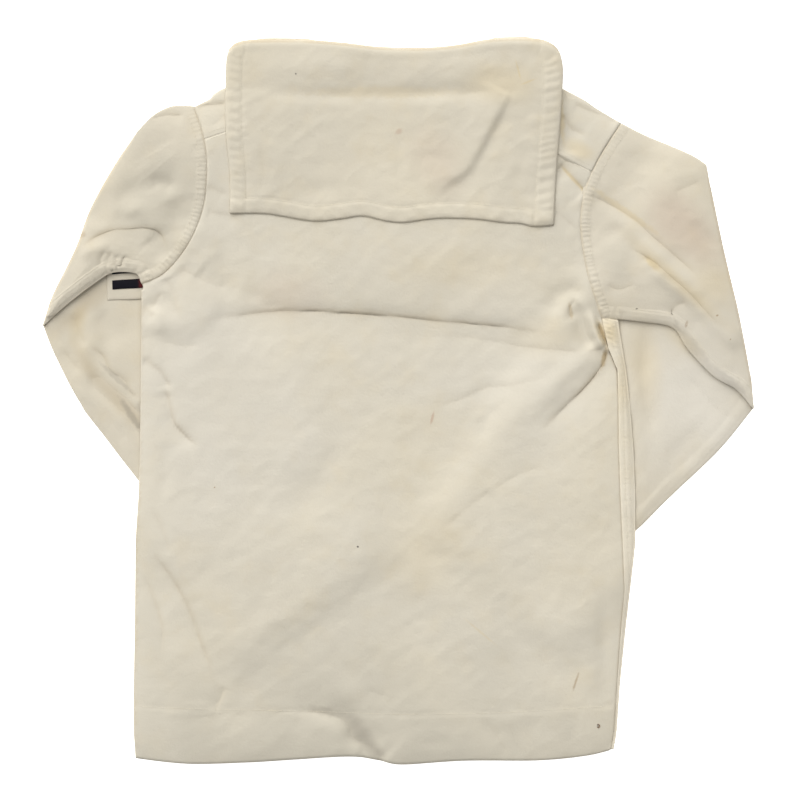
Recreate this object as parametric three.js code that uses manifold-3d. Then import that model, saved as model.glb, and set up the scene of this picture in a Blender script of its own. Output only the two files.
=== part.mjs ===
// Sailor jumper in white cotton drill, laid face down on a table: the back is uppermost, the sailor
// collar lies over the yoke, and both forearms are folded away under the body.
// Units are millimetres. +Z is up, the table is z = 0, +Y points to the neck, and the origin is the
// centre of the laid garment on the table.
import * as THREE from 'three';
import { mergeVertices } from 'three/addons/utils/BufferGeometryUtils.js';
import Module from 'manifold-3d';

const wasm = await Module();
wasm.setup();

// Cloth and how closely it lies
const CLOTH = 1.2; // wall of one layer of drill
const COLLAR_CLOTH = 1.6; // the collar is two plies
const PATCH_CLOTH = 1.0; // ground and stripes of the sleeve mark
const SEAM_GAP = 0.3; // between pieces at a seam
const LIE_GAP = 0.5; // least air between two layers that lie on each other
const PUFF = 4.2; // extra air between front and back, well inside the edges
const PUFF_REACH = 16; // how far in from an edge that air builds up
const FOREARM_AIR = 0.8; // air inside the folded forearm
const FOREARM_CROWN = 0.6; // and the rise of its middle
const REST_GAP = 1.3; // between the forearm and the layer that lies on it
const SPILL = 44; // cloth slopes down over this distance from what lies under it
const SPILL_MARGIN = 20; // after it has run on level this far
const SIDE_TURN = 14; // the back turns under the left edge as far as this
const HEM_PRISM = 60; // height of the cutting prisms

// Heights of the middle of each sleeve wall over the table
const FOREARM_LOW = CLOTH / 2;
const FOREARM_HIGH = CLOTH * 1.5 + FOREARM_AIR;
const FOREARM_TOP = 2 * CLOTH + FOREARM_AIR + FOREARM_CROWN;
const PATCH_ROOM = 2 * PATCH_CLOTH + SEAM_GAP; // how much more the mark needs

// The body, from hem to armpit. left and right are its folded edges, and seam is the side seam that
// shows on top, where the front comes round the right edge.
const BODY = [
  { y: -384, left: -275.0, right: 223.5, seam: 220.5 },
  { y: -350, left: -277.5, right: 229.5, seam: 226.0 },
  { y: -300, left: -277.5, right: 233.0, seam: 229.3 },
  { y: -250, left: -276.5, right: 238.0, seam: 232.8 },
  { y: -200, left: -276.0, right: 243.5, seam: 237.0 },
  { y: -150, left: -275.5, right: 249.0, seam: 235.0 },
  { y: -100, left: -272.0, right: 249.0, seam: 232.6 },
  { y: -50, left: -270.5, right: 247.0, seam: 231.0 },
  { y: 0, left: -270.0, right: 243.0, seam: 230.6 },
  { y: 31, left: -269.8, right: 239.5, seam: 229.6 },
  { y: 54, left: -269.5, right: 235.5, seam: 220.0 },
  { y: 76, left: -269.0, right: 232.0, seam: 215.0 },
  { y: 122, left: -268.8, right: 226.0, seam: 208.0 },
];
const ARMPIT_LEFT = 121;
const ARMPIT_RIGHT = 86;

// Cut edges and folds, as points that a smooth curve runs through
const HEM = [
  { x: -275, y: -376.5 }, { x: -220, y: -382 }, { x: -157, y: -380.6 }, { x: -107, y: -377.5 },
  { x: -50, y: -374.3 }, { x: -20, y: -378.5 }, { x: 5, y: -382.7 }, { x: 69, y: -378.8 },
  { x: 145, y: -378.5 }, { x: 195, y: -374 }, { x: 225, y: -367.5 },
];
const ARMHOLE_LEFT = [
  { x: -268.8, y: 121 }, { x: -244.7, y: 131.8 }, { x: -219.5, y: 162.2 }, { x: -204, y: 200 },
  { x: -200, y: 241 }, { x: -203, y: 273.5 }, { x: -214, y: 307 },
];
const ARMHOLE_RIGHT = [
  { x: 213, y: 86 }, { x: 198.5, y: 130.7 }, { x: 191, y: 180 }, { x: 195.3, y: 218 },
  { x: 211, y: 253.6 }, { x: 234, y: 290 },
];
const YOKE_SEAM = [
  { x: -203, y: 273.5 }, { x: -103, y: 302 }, { x: 2, y: 309 }, { x: 107, y: 285 },
  { x: 204, y: 239 },
];
const SHOULDER_LEFT = [
  { x: -214, y: 307 }, { x: -195, y: 316.6 }, { x: -181.6, y: 326.6 }, { x: -80, y: 366 },
];
const NECK = [{ x: -80, y: 366 }, { x: 2, y: 349 }, { x: 86, y: 366 }];
const SHOULDER_RIGHT = [
  { x: 86, y: 366 }, { x: 182.7, y: 321 }, { x: 208, y: 305.5 }, { x: 234, y: 290 },
];
const NECK_OPENING = { halfTop: 80, top: 372, bottom: 160, middle: 2 };

// The sleeves. fold is the outer edge where the sleeve turns under; upper and lower are the edges
// of the upper arm; underarm and overarm are the edges of the forearm, from the fold to the cuff.
const SLEEVES = {
  left: {
    armhole: ARMHOLE_LEFT,
    fold: [
      { x: -372.6, y: 77 }, { x: -363, y: 106.6 }, { x: -348.6, y: 136 }, { x: -334, y: 165 },
      { x: -324.5, y: 195 }, { x: -309.8, y: 224 }, { x: -292, y: 253.6 }, { x: -272, y: 283 },
    ],
    upper: [
      { x: -214, y: 307 }, { x: -233, y: 308 }, { x: -246, y: 304 }, { x: -258, y: 296.6 },
      { x: -272, y: 283 },
    ],
    lower: [
      { x: -268.8, y: 121 }, { x: -272, y: 132 }, { x: -282, y: 136.5 }, { x: -301, y: 137 },
      { x: -319, y: 124 }, { x: -338, y: 108 }, { x: -355, y: 93 }, { x: -372, y: 77 },
    ],
    underarm: [
      { x: -372, y: 77 }, { x: -359, y: 44.6 }, { x: -334, y: -2.6 }, { x: -308.7, y: -38.3 },
      { x: -160, y: -225 },
    ],
    overarm: [{ x: -268, y: 284 }, { x: -163, y: 70 }, { x: -59, y: -151 }],
    outward: -1,
  },
  right: {
    armhole: ARMHOLE_RIGHT,
    fold: [
      { x: 373, y: -10 }, { x: 371, y: 15 }, { x: 368, y: 33 }, { x: 356.5, y: 92 },
      { x: 342.5, y: 151 }, { x: 330.3, y: 209.5 }, { x: 323, y: 243 },
    ],
    upper: [
      { x: 234, y: 290 }, { x: 258, y: 277.7 }, { x: 283.5, y: 267 }, { x: 308.7, y: 254.6 },
      { x: 323, y: 244 },
    ],
    lower: [
      { x: 213, y: 86 }, { x: 252, y: 82 }, { x: 288, y: 75.5 }, { x: 303, y: 54 },
      { x: 330, y: 25 }, { x: 355, y: 10 }, { x: 373, y: -10 },
    ],
    underarm: [{ x: 373, y: -12 }, { x: 334, y: -56 }, { x: 271, y: -116 }, { x: 172, y: -213 }],
    overarm: [{ x: 320, y: 243 }, { x: 200, y: 54 }, { x: 79, y: -127 }],
    outward: 1,
  },
};

// The largest folds of the upper cloth. Each runs from (x0, y0) to (x1, y1), its middle lies bow to
// the left of the straight line and lean moves that towards the start. It rises rise, gently over
// soft on its left and steeply over crisp on its right.
const BREAST_FOLD = {
  x0: 187, y0: 59, x1: -230, y1: 79, bow: -20, lean: -0.6, rise: 6, soft: 26, crisp: 4,
};
const FOLDS = [
  BREAST_FOLD,
  { x0: 148, y0: -38, x1: 221, y1: 56, bow: -6, lean: 0, rise: 7, soft: 24, crisp: 6 },
  { x0: 206, y0: 118, x1: 170, y1: 76, bow: 6, lean: 0, rise: 4, soft: 12, crisp: 9 },
  { x0: -262, y0: 42, x1: -218, y1: -58, bow: -4, lean: 0, rise: 3, soft: 9, crisp: 15 },
  { x0: -190, y0: -325, x1: -262, y1: -155, bow: -5, lean: 0, rise: 3.2, soft: 16, crisp: 8 },
  { x0: -160, y0: -322, x1: -38, y1: -338, bow: 4, lean: 0, rise: 3.4, soft: 18, crisp: 6 },
  { x0: -60, y0: -330, x1: -8, y1: -390, bow: 0, lean: 0, rise: 5, soft: 18, crisp: 8 },
  { x0: 50, y0: -128, x1: 150, y1: -68, bow: 5, lean: 0, rise: 2.2, soft: 14, crisp: 9 },
  { x0: 60, y0: -3, x1: 168, y1: 30, bow: -4, lean: 0, rise: 2, soft: 12, crisp: 10 },
  { x0: -236, y0: 152, x1: -338, y1: 156, bow: -20, lean: 0, rise: 6, soft: 17, crisp: 5 },
  { x0: 243, y0: 172, x1: 367, y1: 30, bow: 6, lean: 0, rise: 3.6, soft: 12, crisp: 24 },
  { x0: 196, y0: 216, x1: 300, y1: 146, bow: 5, lean: 0, rise: 2.4, soft: 14, crisp: 18 },
];
const COLLAR_FOLDS = [
  { x0: 34, y0: 204, x1: 115, y1: 326, bow: 4, lean: 0, rise: 3.2, soft: 12, crisp: 16 },
  { x0: -150, y0: 345, x1: 130, y1: 348, bow: 3, lean: 0, rise: 2.6, soft: 16, crisp: 16 },
];

// The collar: the flap on the back, the roll at the top, and the lapels under the front
const FLAP = [
  { y: 194, left: -176.0, right: 163.0, dip: -13 },
  { y: 240, left: -177.0, right: 166.0, dip: -8 },
  { y: 290, left: -180.0, right: 170.0, dip: -3 },
  { y: 340, left: -180.5, right: 172.5, dip: 0 },
  { y: 362, left: -178.0, right: 172.0, dip: 0 },
  { y: 376, left: -164.0, right: 160.0, dip: 0 },
];
const ROLL = [
  { x: -177, y: 366 }, { x: -168, y: 375.4 }, { x: -158, y: 378.5 }, { x: -140, y: 380 },
  { x: -107, y: 380.4 }, { x: -80, y: 378 }, { x: -60, y: 374 }, { x: 6, y: 370 },
  { x: 57, y: 373 }, { x: 82, y: 378 }, { x: 100, y: 382.2 }, { x: 145, y: 381.7 },
  { x: 157.5, y: 377 }, { x: 165, y: 372.5 }, { x: 170, y: 366 },
];
const LAPEL_TIP = { x: 2, y: 142, half: 9 };
const COLLAR_SIDES = 16;

// The mark on the left sleeve: a white ground with two dark diagonal stripes, laid where the folded
// sleeve brings it
const MARK = { x: -305, y: 104, length: 84, width: 50, tilt: 2 };
const STRIPE = { length: 76, width: 9.5, pitch: 15.9, first: 11, inset: 6 };

// Mesh steps
const BODY_COLUMNS = [
  -290, -281, -272, -262, -250, -236, -220, -200, -178, -155, -130, -104, -77, -50, -32, -16, 0, 25,
  50, 75, 98, 118, 136, 151, 165, 178, 190, 201, 212, 223, 236, 250, 262,
];
const BODY_ROWS = [
  -392, -376, -362, -348, -335, -320, -300, -276, -250, -224, -197, -170, -143, -118, -94, -72, -52,
  -36, -20, -6, 8, 22, 36, 49, 60, 66, 72, 88, 108, 130, 155, 182, 210, 238, 266, 294, 322, 348,
  376,
];
const FRONT_STEP = 2; // the hidden front takes every second line of that grid
const FOLD_ROW = 60; // the row that follows the breast fold
const FOLD_PULL = 75; // how far from the fold its neighbours still follow it

// A curve through a table of points
const curveOf = (points) => new THREE.SplineCurve(points.map((p) => new THREE.Vector2(p.x, p.y)));
const sampled = (points, steps) => curveOf(points).getSpacedPoints(steps);
const straight = (points) => points.map((p) => new THREE.Vector2(p.x, p.y));
const smoothstep = (t) => {
  const c = Math.min(1, Math.max(0, t));
  return c * c * (3 - 2 * c);
};

// One column of a table of sections, as a function of y
function column(table, name) {
  return (y) => {
    const last = table.length - 1;
    const above = table.findIndex((row) => row.y > y);
    const i = above < 0 ? last : Math.max(1, above);
    const [a, b] = [table[i - 1], table[i]];
    const share = Math.min(1, Math.max(0, (y - a.y) / (b.y - a.y)));
    return a[name] + (b[name] - a[name]) * share;
  };
}
const leftEdge = column(BODY, 'left');
const rightEdge = column(BODY, 'right');
const sideSeam = column(BODY, 'seam');
const rowsBetween = (low, high) => [
  low, ...BODY.map((row) => row.y).filter((y) => y > low && y < high), high,
];

// Points moved sideways off a curve, to the left of its direction
function moved(points, distance) {
  return points.map((p, i) => {
    const a = points[Math.max(0, i - 1)];
    const b = points[Math.min(points.length - 1, i + 1)];
    const along = b.clone().sub(a).normalize();
    return new THREE.Vector2(p.x - along.y * distance, p.y + along.x * distance);
  });
}

// How far a point lies inside a convex outline that runs anticlockwise, negative outside it
function depthIn(outline, x, y) {
  return Math.min(...outline.map((a, i) => {
    const b = outline[(i + 1) % outline.length];
    const length = Math.hypot(b.x - a.x, b.y - a.y);
    return ((b.x - a.x) * (y - a.y) - (b.y - a.y) * (x - a.x)) / length;
  }));
}

function distanceToLine(points, x, y) {
  let nearest = Infinity;
  for (let i = 1; i < points.length; i += 1) {
    const [a, b] = [points[i - 1], points[i]];
    const [dx, dy] = [b.x - a.x, b.y - a.y];
    const t = Math.min(1, Math.max(0, ((x - a.x) * dx + (y - a.y) * dy) / (dx * dx + dy * dy)));
    nearest = Math.min(nearest, Math.hypot(x - a.x - t * dx, y - a.y - t * dy));
  }
  return nearest;
}

const first = (points) => points[0];
const last = (points) => points[points.length - 1];

// What the upper layers lie on: the two folded forearms, the sleeve mark and the lapels
const { left: LEFT, right: RIGHT } = SLEEVES;
const markCorners = [[0, 0], [MARK.length, 0], [MARK.length, MARK.width], [0, MARK.width]]
  .map(([along, up]) => ({ x: MARK.x + along, y: MARK.y - 6 + up + 4 }));
const SUPPORTS = [
  { level: FOREARM_TOP + REST_GAP,
    outline: [first(LEFT.underarm), LEFT.underarm[3], last(LEFT.underarm), last(LEFT.overarm),
      first(LEFT.overarm), LEFT.fold[3]] },
  { level: FOREARM_TOP + REST_GAP,
    outline: [first(RIGHT.underarm), RIGHT.fold[2], first(RIGHT.overarm), last(RIGHT.overarm),
      last(RIGHT.underarm), RIGHT.underarm[1]] },
  { level: FOREARM_TOP + REST_GAP + PATCH_ROOM, outline: markCorners },
  { level: COLLAR_CLOTH + LIE_GAP,
    outline: [{ x: -190, y: 362 }, { x: LAPEL_TIP.x, y: LAPEL_TIP.y - 12 }, { x: 182, y: 362 },
      { x: 182, y: 390 }, { x: -190, y: 390 }] },
];
function support(x, y) {
  return Math.max(0, ...SUPPORTS.map(({ level, outline }) => (
    level * smoothstep((depthIn(outline, x, y) + SPILL + SPILL_MARGIN) / SPILL))));
}

// How high one fold lifts the cloth at a point
function foldHeight(fold, x, y) {
  const [dx, dy] = [fold.x1 - fold.x0, fold.y1 - fold.y0];
  const length = Math.hypot(dx, dy);
  const t = ((x - fold.x0) * dx + (y - fold.y0) * dy) / (length * length);
  if (t <= 0 || t >= 1) return 0;
  const crest = fold.bow * 4 * t * (1 - t) * (1 + fold.lean * (0.5 - t));
  const off = ((y - fold.y0) * dx - (x - fold.x0) * dy) / length - crest;
  const width = off > 0 ? fold.soft : fold.crisp;
  return fold.rise * smoothstep(t / 0.3) * smoothstep((1 - t) / 0.25) * Math.exp(-((off / width) ** 2));
}
const foldsAt = (folds, x, y) => Math.max(0, ...folds.map((fold) => foldHeight(fold, x, y)));

// The edges where the front and the back of the garment come together
const RIMS = [
  ...Object.values(SLEEVES).flatMap((sleeve) => [sleeve.fold, sleeve.upper, sleeve.lower]),
  SHOULDER_LEFT, SHOULDER_RIGHT,
].map((points) => sampled(points, 16));
RIMS.push(BODY.filter((row) => row.y < ARMPIT_LEFT).map((row) => ({ x: row.left, y: row.y })));
RIMS.push(BODY.filter((row) => row.y < ARMPIT_RIGHT).map((row) => ({ x: row.right, y: row.y })));

function air(x, y) {
  const inset = Math.min(...RIMS.map((points) => distanceToLine(points, x, y)));
  return LIE_GAP + PUFF * (1 - Math.exp(-inset / PUFF_REACH));
}

// Undersides of the four layers that lie on each other
const frontUnder = support;
const backUnder = (x, y) => frontUnder(x, y) + CLOTH + air(x, y) + foldsAt(FOLDS, x, y);
const flapMiddle = (x, y) => frontUnder(x, y) + 2 * CLOTH + 2.6 * LIE_GAP + PUFF
  + COLLAR_CLOTH / 2   + foldsAt(FOLDS, x, y) + foldsAt(COLLAR_FOLDS, x, y);

// A closed solid between two grids of points: over and under are rows of Vector3
function shell(over, under) {
  const [rows, columns] = [over.length, over[0].length];
  const points = [...over.flat(), ...under.flat()];
  const top = (i, j) => i * columns + j;
  const bottom = (i, j) => rows * columns + top(i, j);
  const faces = [];
  const quad = (a, b, c, d) => faces.push(a, b, c, a, c, d);
  for (let i = 0; i + 1 < rows; i += 1) {
    for (let j = 0; j + 1 < columns; j += 1) {
      quad(top(i, j), top(i, j + 1), top(i + 1, j + 1), top(i + 1, j));
      quad(bottom(i, j), bottom(i + 1, j), bottom(i + 1, j + 1), bottom(i, j + 1));
    }
    quad(top(i, 0), top(i + 1, 0), bottom(i + 1, 0), bottom(i, 0));
    quad(top(i + 1, columns - 1), top(i, columns - 1), bottom(i, columns - 1),
      bottom(i + 1, columns - 1));
  }
  for (let j = 0; j + 1 < columns; j += 1) {
    quad(top(0, j + 1), top(0, j), bottom(0, j), bottom(0, j + 1));
    quad(top(rows - 1, j), top(rows - 1, j + 1), bottom(rows - 1, j + 1), bottom(rows - 1, j));
  }
  return solidOf(points.flatMap((p) => [p.x, p.y, p.z]), faces);
}

function solidOf(positions, faces) {
  const solid = new wasm.Manifold(new wasm.Mesh({
    numProp: 3,
    vertProperties: new Float32Array(positions),
    triVerts: new Uint32Array(faces),
  }));
  return solid;
}

// A geometry as a manifold-3d solid, and back
function toSolid(geometry) {
  geometry.deleteAttribute('normal');
  geometry.deleteAttribute('uv');
  const merged = mergeVertices(geometry, 1e-4);
  return solidOf(merged.attributes.position.array, merged.index.array);
}
function toGeometry(solid) {
  const { numProp, vertProperties, triVerts } = solid.getMesh();
  const count = vertProperties.length / numProp;
  const positions = new Float32Array(count * 3);
  for (let i = 0; i < count; i += 1) {
    positions.set(vertProperties.subarray(i * numProp, i * numProp + 3), i * 3);
  }
  const geometry = new THREE.BufferGeometry();
  geometry.setAttribute('position', new THREE.BufferAttribute(positions, 3));
  geometry.setIndex(new THREE.BufferAttribute(triVerts, 1));
  geometry.computeVertexNormals();
  return geometry;
}

// An upright prism on an outline, without the points that almost repeat the one before them
function prism(outline, low = -HEM_PRISM / 2, height = HEM_PRISM) {
  const corners = outline.filter((p, i) => p.distanceTo(outline.at(i - 1)) > 2 * SEAM_GAP);
  const geometry = new THREE.ExtrudeGeometry(new THREE.Shape(corners), {
    depth: height, bevelEnabled: false, curveSegments: 1,
  });
  geometry.translate(0, 0, low);
  return toSolid(geometry);
}

// The shared grid of the body. Its rows bend with the breast fold near it.
function gridPoint(x, row) {
  const { x0, y0, x1, y1, bow, lean } = BREAST_FOLD;
  const t = Math.min(1, Math.max(0, (x - x0) / (x1 - x0)));
  const crest = y0 + (y1 - y0) * t - bow * 4 * t * (1 - t) * (1 + lean * (0.5 - t));
  const pull = Math.exp(-(((row - FOLD_ROW) / FOLD_PULL) ** 2));
  return new THREE.Vector2(x, row + (crest - FOLD_ROW) * pull);
}
function layer(underside, step) {
  const pick = (values) => values.filter((value, i) => i % step === 0 || i === values.length - 1);
  const level = (lift) => pick(BODY_ROWS).map((row) => pick(BODY_COLUMNS).map((x) => {
    const p = gridPoint(x, row);
    return new THREE.Vector3(p.x, p.y, underside(p.x, p.y) + lift);
  }));
  return shell(level(CLOTH), level(0));
}

// The cloth that goes round a folded side edge, from the layer at sign -1 (below) or 1 (above) to the
// strip on the other side, which ends at endOf(y)
function sideTurn(edgeOf, inward, fromTop, endOf, lowY, highY) {
  const turns = 5;
  const overlap = 2.4;
  const over = [];
  const under = [];
  rowsBetween(lowY, highY).forEach((y) => {
    const edge = edgeOf(y);
    const probe = edge + inward * 6;
    const low = frontUnder(probe, y) + CLOTH / 2;
    const high = backUnder(probe, y) + CLOTH / 2;
    const radius = (high - low) / 2;
    const centre = edge + inward * (radius + CLOTH / 2);
    const section = [];
    const flat = (x, top) => section.push({
      x, z: (top ? backUnder(x, y) : frontUnder(x, y)) + CLOTH / 2, nx: 0, nz: top ? 1 : -1,
    });
    flat(centre + inward * overlap, fromTop);
    for (let k = 0; k <= turns; k += 1) {
      const angle = (fromTop ? 1 : -1) * Math.PI * (0.5 - k / turns);
      section.push({
        x: centre - inward * radius * Math.cos(angle),
        z: (low + high) / 2 + radius * Math.sin(angle),
        nx: -inward * Math.cos(angle),
        nz: Math.sin(angle),
      });
    }
    flat((centre + endOf(y)) / 2, !fromTop);
    flat(endOf(y), !fromTop);
    const side = (lift) => section.map((p) => new THREE.Vector3(
      p.x + p.nx * lift, y, p.z + p.nz * lift));
    over.push(side(CLOTH / 2));
    under.push(side(-CLOTH / 2));
  });
  const facing = inward > 0 === fromTop;
  return facing ? shell(under, over) : shell(over, under);
}

// The back, the yoke and the front, cut from the layers by their outlines
const between = (edgeOf, shift, lowY, highY) => rowsBetween(lowY, highY).map((y) => (
  new THREE.Vector2(edgeOf(y) + shift, y)));
const hemLine = sampled(HEM, 24);
const turnIn = 2.6; // where a side turn takes over from the flat layer

const ARM_STEPS = 12;
const armholeOf = (points) => sampled(points, ARM_STEPS);

// The whole upper side, which the yoke seam divides
function upperSide() {
  const outline = [
    ...hemLine.filter((p) => p.x > leftEdge(p.y) + turnIn + 1 && p.x < sideSeam(p.y) - 1),
    ...between(sideSeam, 0, -367, ARMPIT_RIGHT - 1),
    ...armholeOf(ARMHOLE_RIGHT),
    ...sampled(SHOULDER_RIGHT, 8).reverse(),
    ...sampled(NECK, 10).reverse(),
    ...sampled(SHOULDER_LEFT, 8).reverse(),
    ...armholeOf(ARMHOLE_LEFT).reverse(),
    ...between(leftEdge, turnIn, -376.5, ARMPIT_LEFT - 1).reverse(),
  ];
  return layer(backUnder, 1).intersect(prism(outline));
}
function sideOfYokeSeam(farY) {
  const seam = sampled(YOKE_SEAM, 20);
  const gap = Math.sign(farY) * SEAM_GAP / 2;
  const line = [{ x: -320, y: 244 }, ...seam, { x: 320, y: 196 }].map((p) => ({ x: p.x, y: p.y + gap }));
  const outline = [...line, { x: 320, y: farY }, { x: -320, y: farY }];
  return prism(straight(farY > 0 ? outline : outline.reverse()));
}

function buildBack() {
  const turn = sideTurn(leftEdge, 1, true, (y) => leftEdge(y) + SIDE_TURN, -376.5, ARMPIT_LEFT - 4);
  return upperSide().intersect(sideOfYokeSeam(-500)).add(turn);
}

const buildYoke = () => upperSide().intersect(sideOfYokeSeam(500));

function buildFront() {
  const { halfTop, top, bottom, middle } = NECK_OPENING;
  const inset = SIDE_TURN + SEAM_GAP;
  const outline = [
    ...hemLine.filter((p) => p.x > leftEdge(p.y) + inset + 1 && p.x < rightEdge(p.y) - turnIn - 1),
    ...between(rightEdge, -turnIn, -367, ARMPIT_RIGHT - 11),
    ...moved(armholeOf(ARMHOLE_RIGHT), SEAM_GAP),
    ...sampled(SHOULDER_RIGHT, 8).reverse(),
    ...sampled(SHOULDER_LEFT, 8).reverse(),
    ...armholeOf(ARMHOLE_LEFT).reverse(),
    ...between(leftEdge, inset, -376.5, ARMPIT_LEFT - 4).reverse(),
  ];
  const opening = prism(straight([
    { x: middle - halfTop, y: top }, { x: middle, y: bottom }, { x: middle + halfTop, y: top },
  ]));
  const seamSide = (y) => sideSeam(y) + SEAM_GAP;
  const turn = sideTurn(rightEdge, -1, false, seamSide, -367, ARMPIT_RIGHT - 10);
  return layer(frontUnder, FRONT_STEP).intersect(prism(outline)).add(turn).subtract(opening);
}

// A patch of plan positions spanned by four edges, each a list of evenly spaced points
function pointAt(points, share) {
  const place = Math.min(1, Math.max(0, share)) * (points.length - 1);
  const i = Math.min(points.length - 2, Math.floor(place));
  return points[i].clone().lerp(points[i + 1], place - i);
}
function patchOf(start, end, low, high) {
  const corners = [first(start), first(end), last(start), last(end)];
  return (s, v) => {
    const weights = [(1 - s) * (1 - v), s * (1 - v), (1 - s) * v, s * v];
    const p = pointAt(start, v).lerp(pointAt(end, v), s)
      .add(pointAt(low, s).lerp(pointAt(high, s), v));
    corners.forEach((corner, i) => p.addScaledVector(corner, -weights[i]));
    return p;
  };
}

// A sleeve as one flattened tube: rings from the armhole over the fold to the cuff. angle is how far
// the section has turned under, from 0 on the upper arm to a half turn on the forearm.
function buildSleeve({ armhole, fold, upper, lower, underarm, overarm, outward }) {
  const across = ARM_STEPS;
  const turned = 3.9; // the fold's outer radius
  const foldIn = moved(sampled(fold, across), outward * turned);
  const start = moved(armholeOf(armhole), -outward * SEAM_GAP);
  const side = (from, points, to) => sampled([from, ...points, to], 12);
  const upperArm = patchOf(start, foldIn, side(first(start), lower.slice(1, -1), first(foldIn)),
    side(last(start), upper.slice(1, -1), last(foldIn)));
  const cuff = straight([last(underarm), last(overarm)]);
  const forearm = patchOf(foldIn, cuff, side(first(foldIn), underarm.slice(1, -1), first(cuff)),
    side(last(foldIn), overarm.slice(1, -1), last(cuff)));
  const sections = [];
  const steps = (n, each) => Array.from({ length: n }, (_, i) => each(i / n)).forEach((s) => {
    sections.push(s);
  });
  steps(8, (s) => ({ plan: (v) => upperArm(s, v), angle: 0 }));
  steps(5, (s) => ({ plan: (v) => upperArm(1, v), angle: Math.PI * s }));
  steps(8, (s) => ({ plan: (v) => forearm(s, v), angle: Math.PI }));
  sections.push({ plan: (v) => forearm(1, v), angle: Math.PI });

  // Middle of a wall, and the way its outer face looks
  const wall = (plan, v, angle, isBack) => {
    const p = plan(v);
    const ahead = plan(Math.min(1, v + 0.02)).sub(plan(Math.max(0, v - 0.02))).normalize();
    const out = new THREE.Vector3(ahead.y, -ahead.x, 0).multiplyScalar(outward);
    const crown = FOREARM_CROWN * Math.sin(Math.PI * v) * (angle > 0 ? Math.sin(angle / 2) : 0);
    const low = isBack ? FOREARM_LOW : FOREARM_HIGH + crown;
    const high = (isBack ? backUnder(p.x, p.y) : frontUnder(p.x, p.y)) + CLOTH / 2;
    const radius = (high - low) / 2;
    const facing = out.clone().multiplyScalar(Math.sin(angle)).setZ(Math.cos(angle));
    const middle = new THREE.Vector3(p.x, p.y, (high + low) / 2)
      .addScaledVector(facing, radius);
    return { middle, facing: facing.multiplyScalar(isBack ? 1 : -1), ahead };
  };
  const inset = 0.012;
  const ring = ({ plan, angle }, isOuter) => {
    const lift = isOuter ? CLOTH / 2 : -CLOTH / 2;
    const [low, high] = isOuter ? [0, 1] : [inset, 1 - inset];
    const at = (k) => low + (high - low) * (k / across);
    const face = (isBack) => Array.from({ length: across + 1 }, (_, k) => {
      const { middle, facing } = wall(plan, at(k), angle, isBack);
      return middle.addScaledVector(facing, lift);
    });
    const edge = (v, sign) => {
      const [a, b] = [wall(plan, v, angle, true), wall(plan, v, angle, false)];
      const push = isOuter ? 1.1 * sign : 0.2 * sign;
      return a.middle.add(b.middle).multiplyScalar(0.5)
        .add(new THREE.Vector3(a.ahead.x * push, a.ahead.y * push, 0));
    };
    return [...face(true), edge(high, 1), ...face(false).reverse(), edge(low, -1)];
  };
  const outer = sections.map((section) => ring(section, true));
  const inner = sections.map((section) => ring(section, false));
  const count = outer[0].length;
  const points = [...outer.flat(), ...inner.flat()];
  const at = (i, j, isInner) => (isInner ? sections.length * count : 0) + i * count + (j % count);
  const faces = [];
  const quad = (a, b, c, d) => (outward > 0 ? faces.push(a, b, c, a, c, d)
    : faces.push(a, c, b, a, d, c));
  for (let j = 0; j < count; j += 1) {
    for (let i = 0; i + 1 < sections.length; i += 1) {
      quad(at(i, j), at(i + 1, j), at(i + 1, j + 1), at(i, j + 1));
      quad(at(i, j, true), at(i, j + 1, true), at(i + 1, j + 1, true), at(i + 1, j, true));
    }
    quad(at(0, j, true), at(0, j), at(0, j + 1), at(0, j + 1, true));
    const end = sections.length - 1;
    quad(at(end, j), at(end, j, true), at(end, j + 1, true), at(end, j + 1));
  }
  return solidOf(points.flatMap((p) => [p.x, p.y, p.z]), faces);
}

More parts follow.
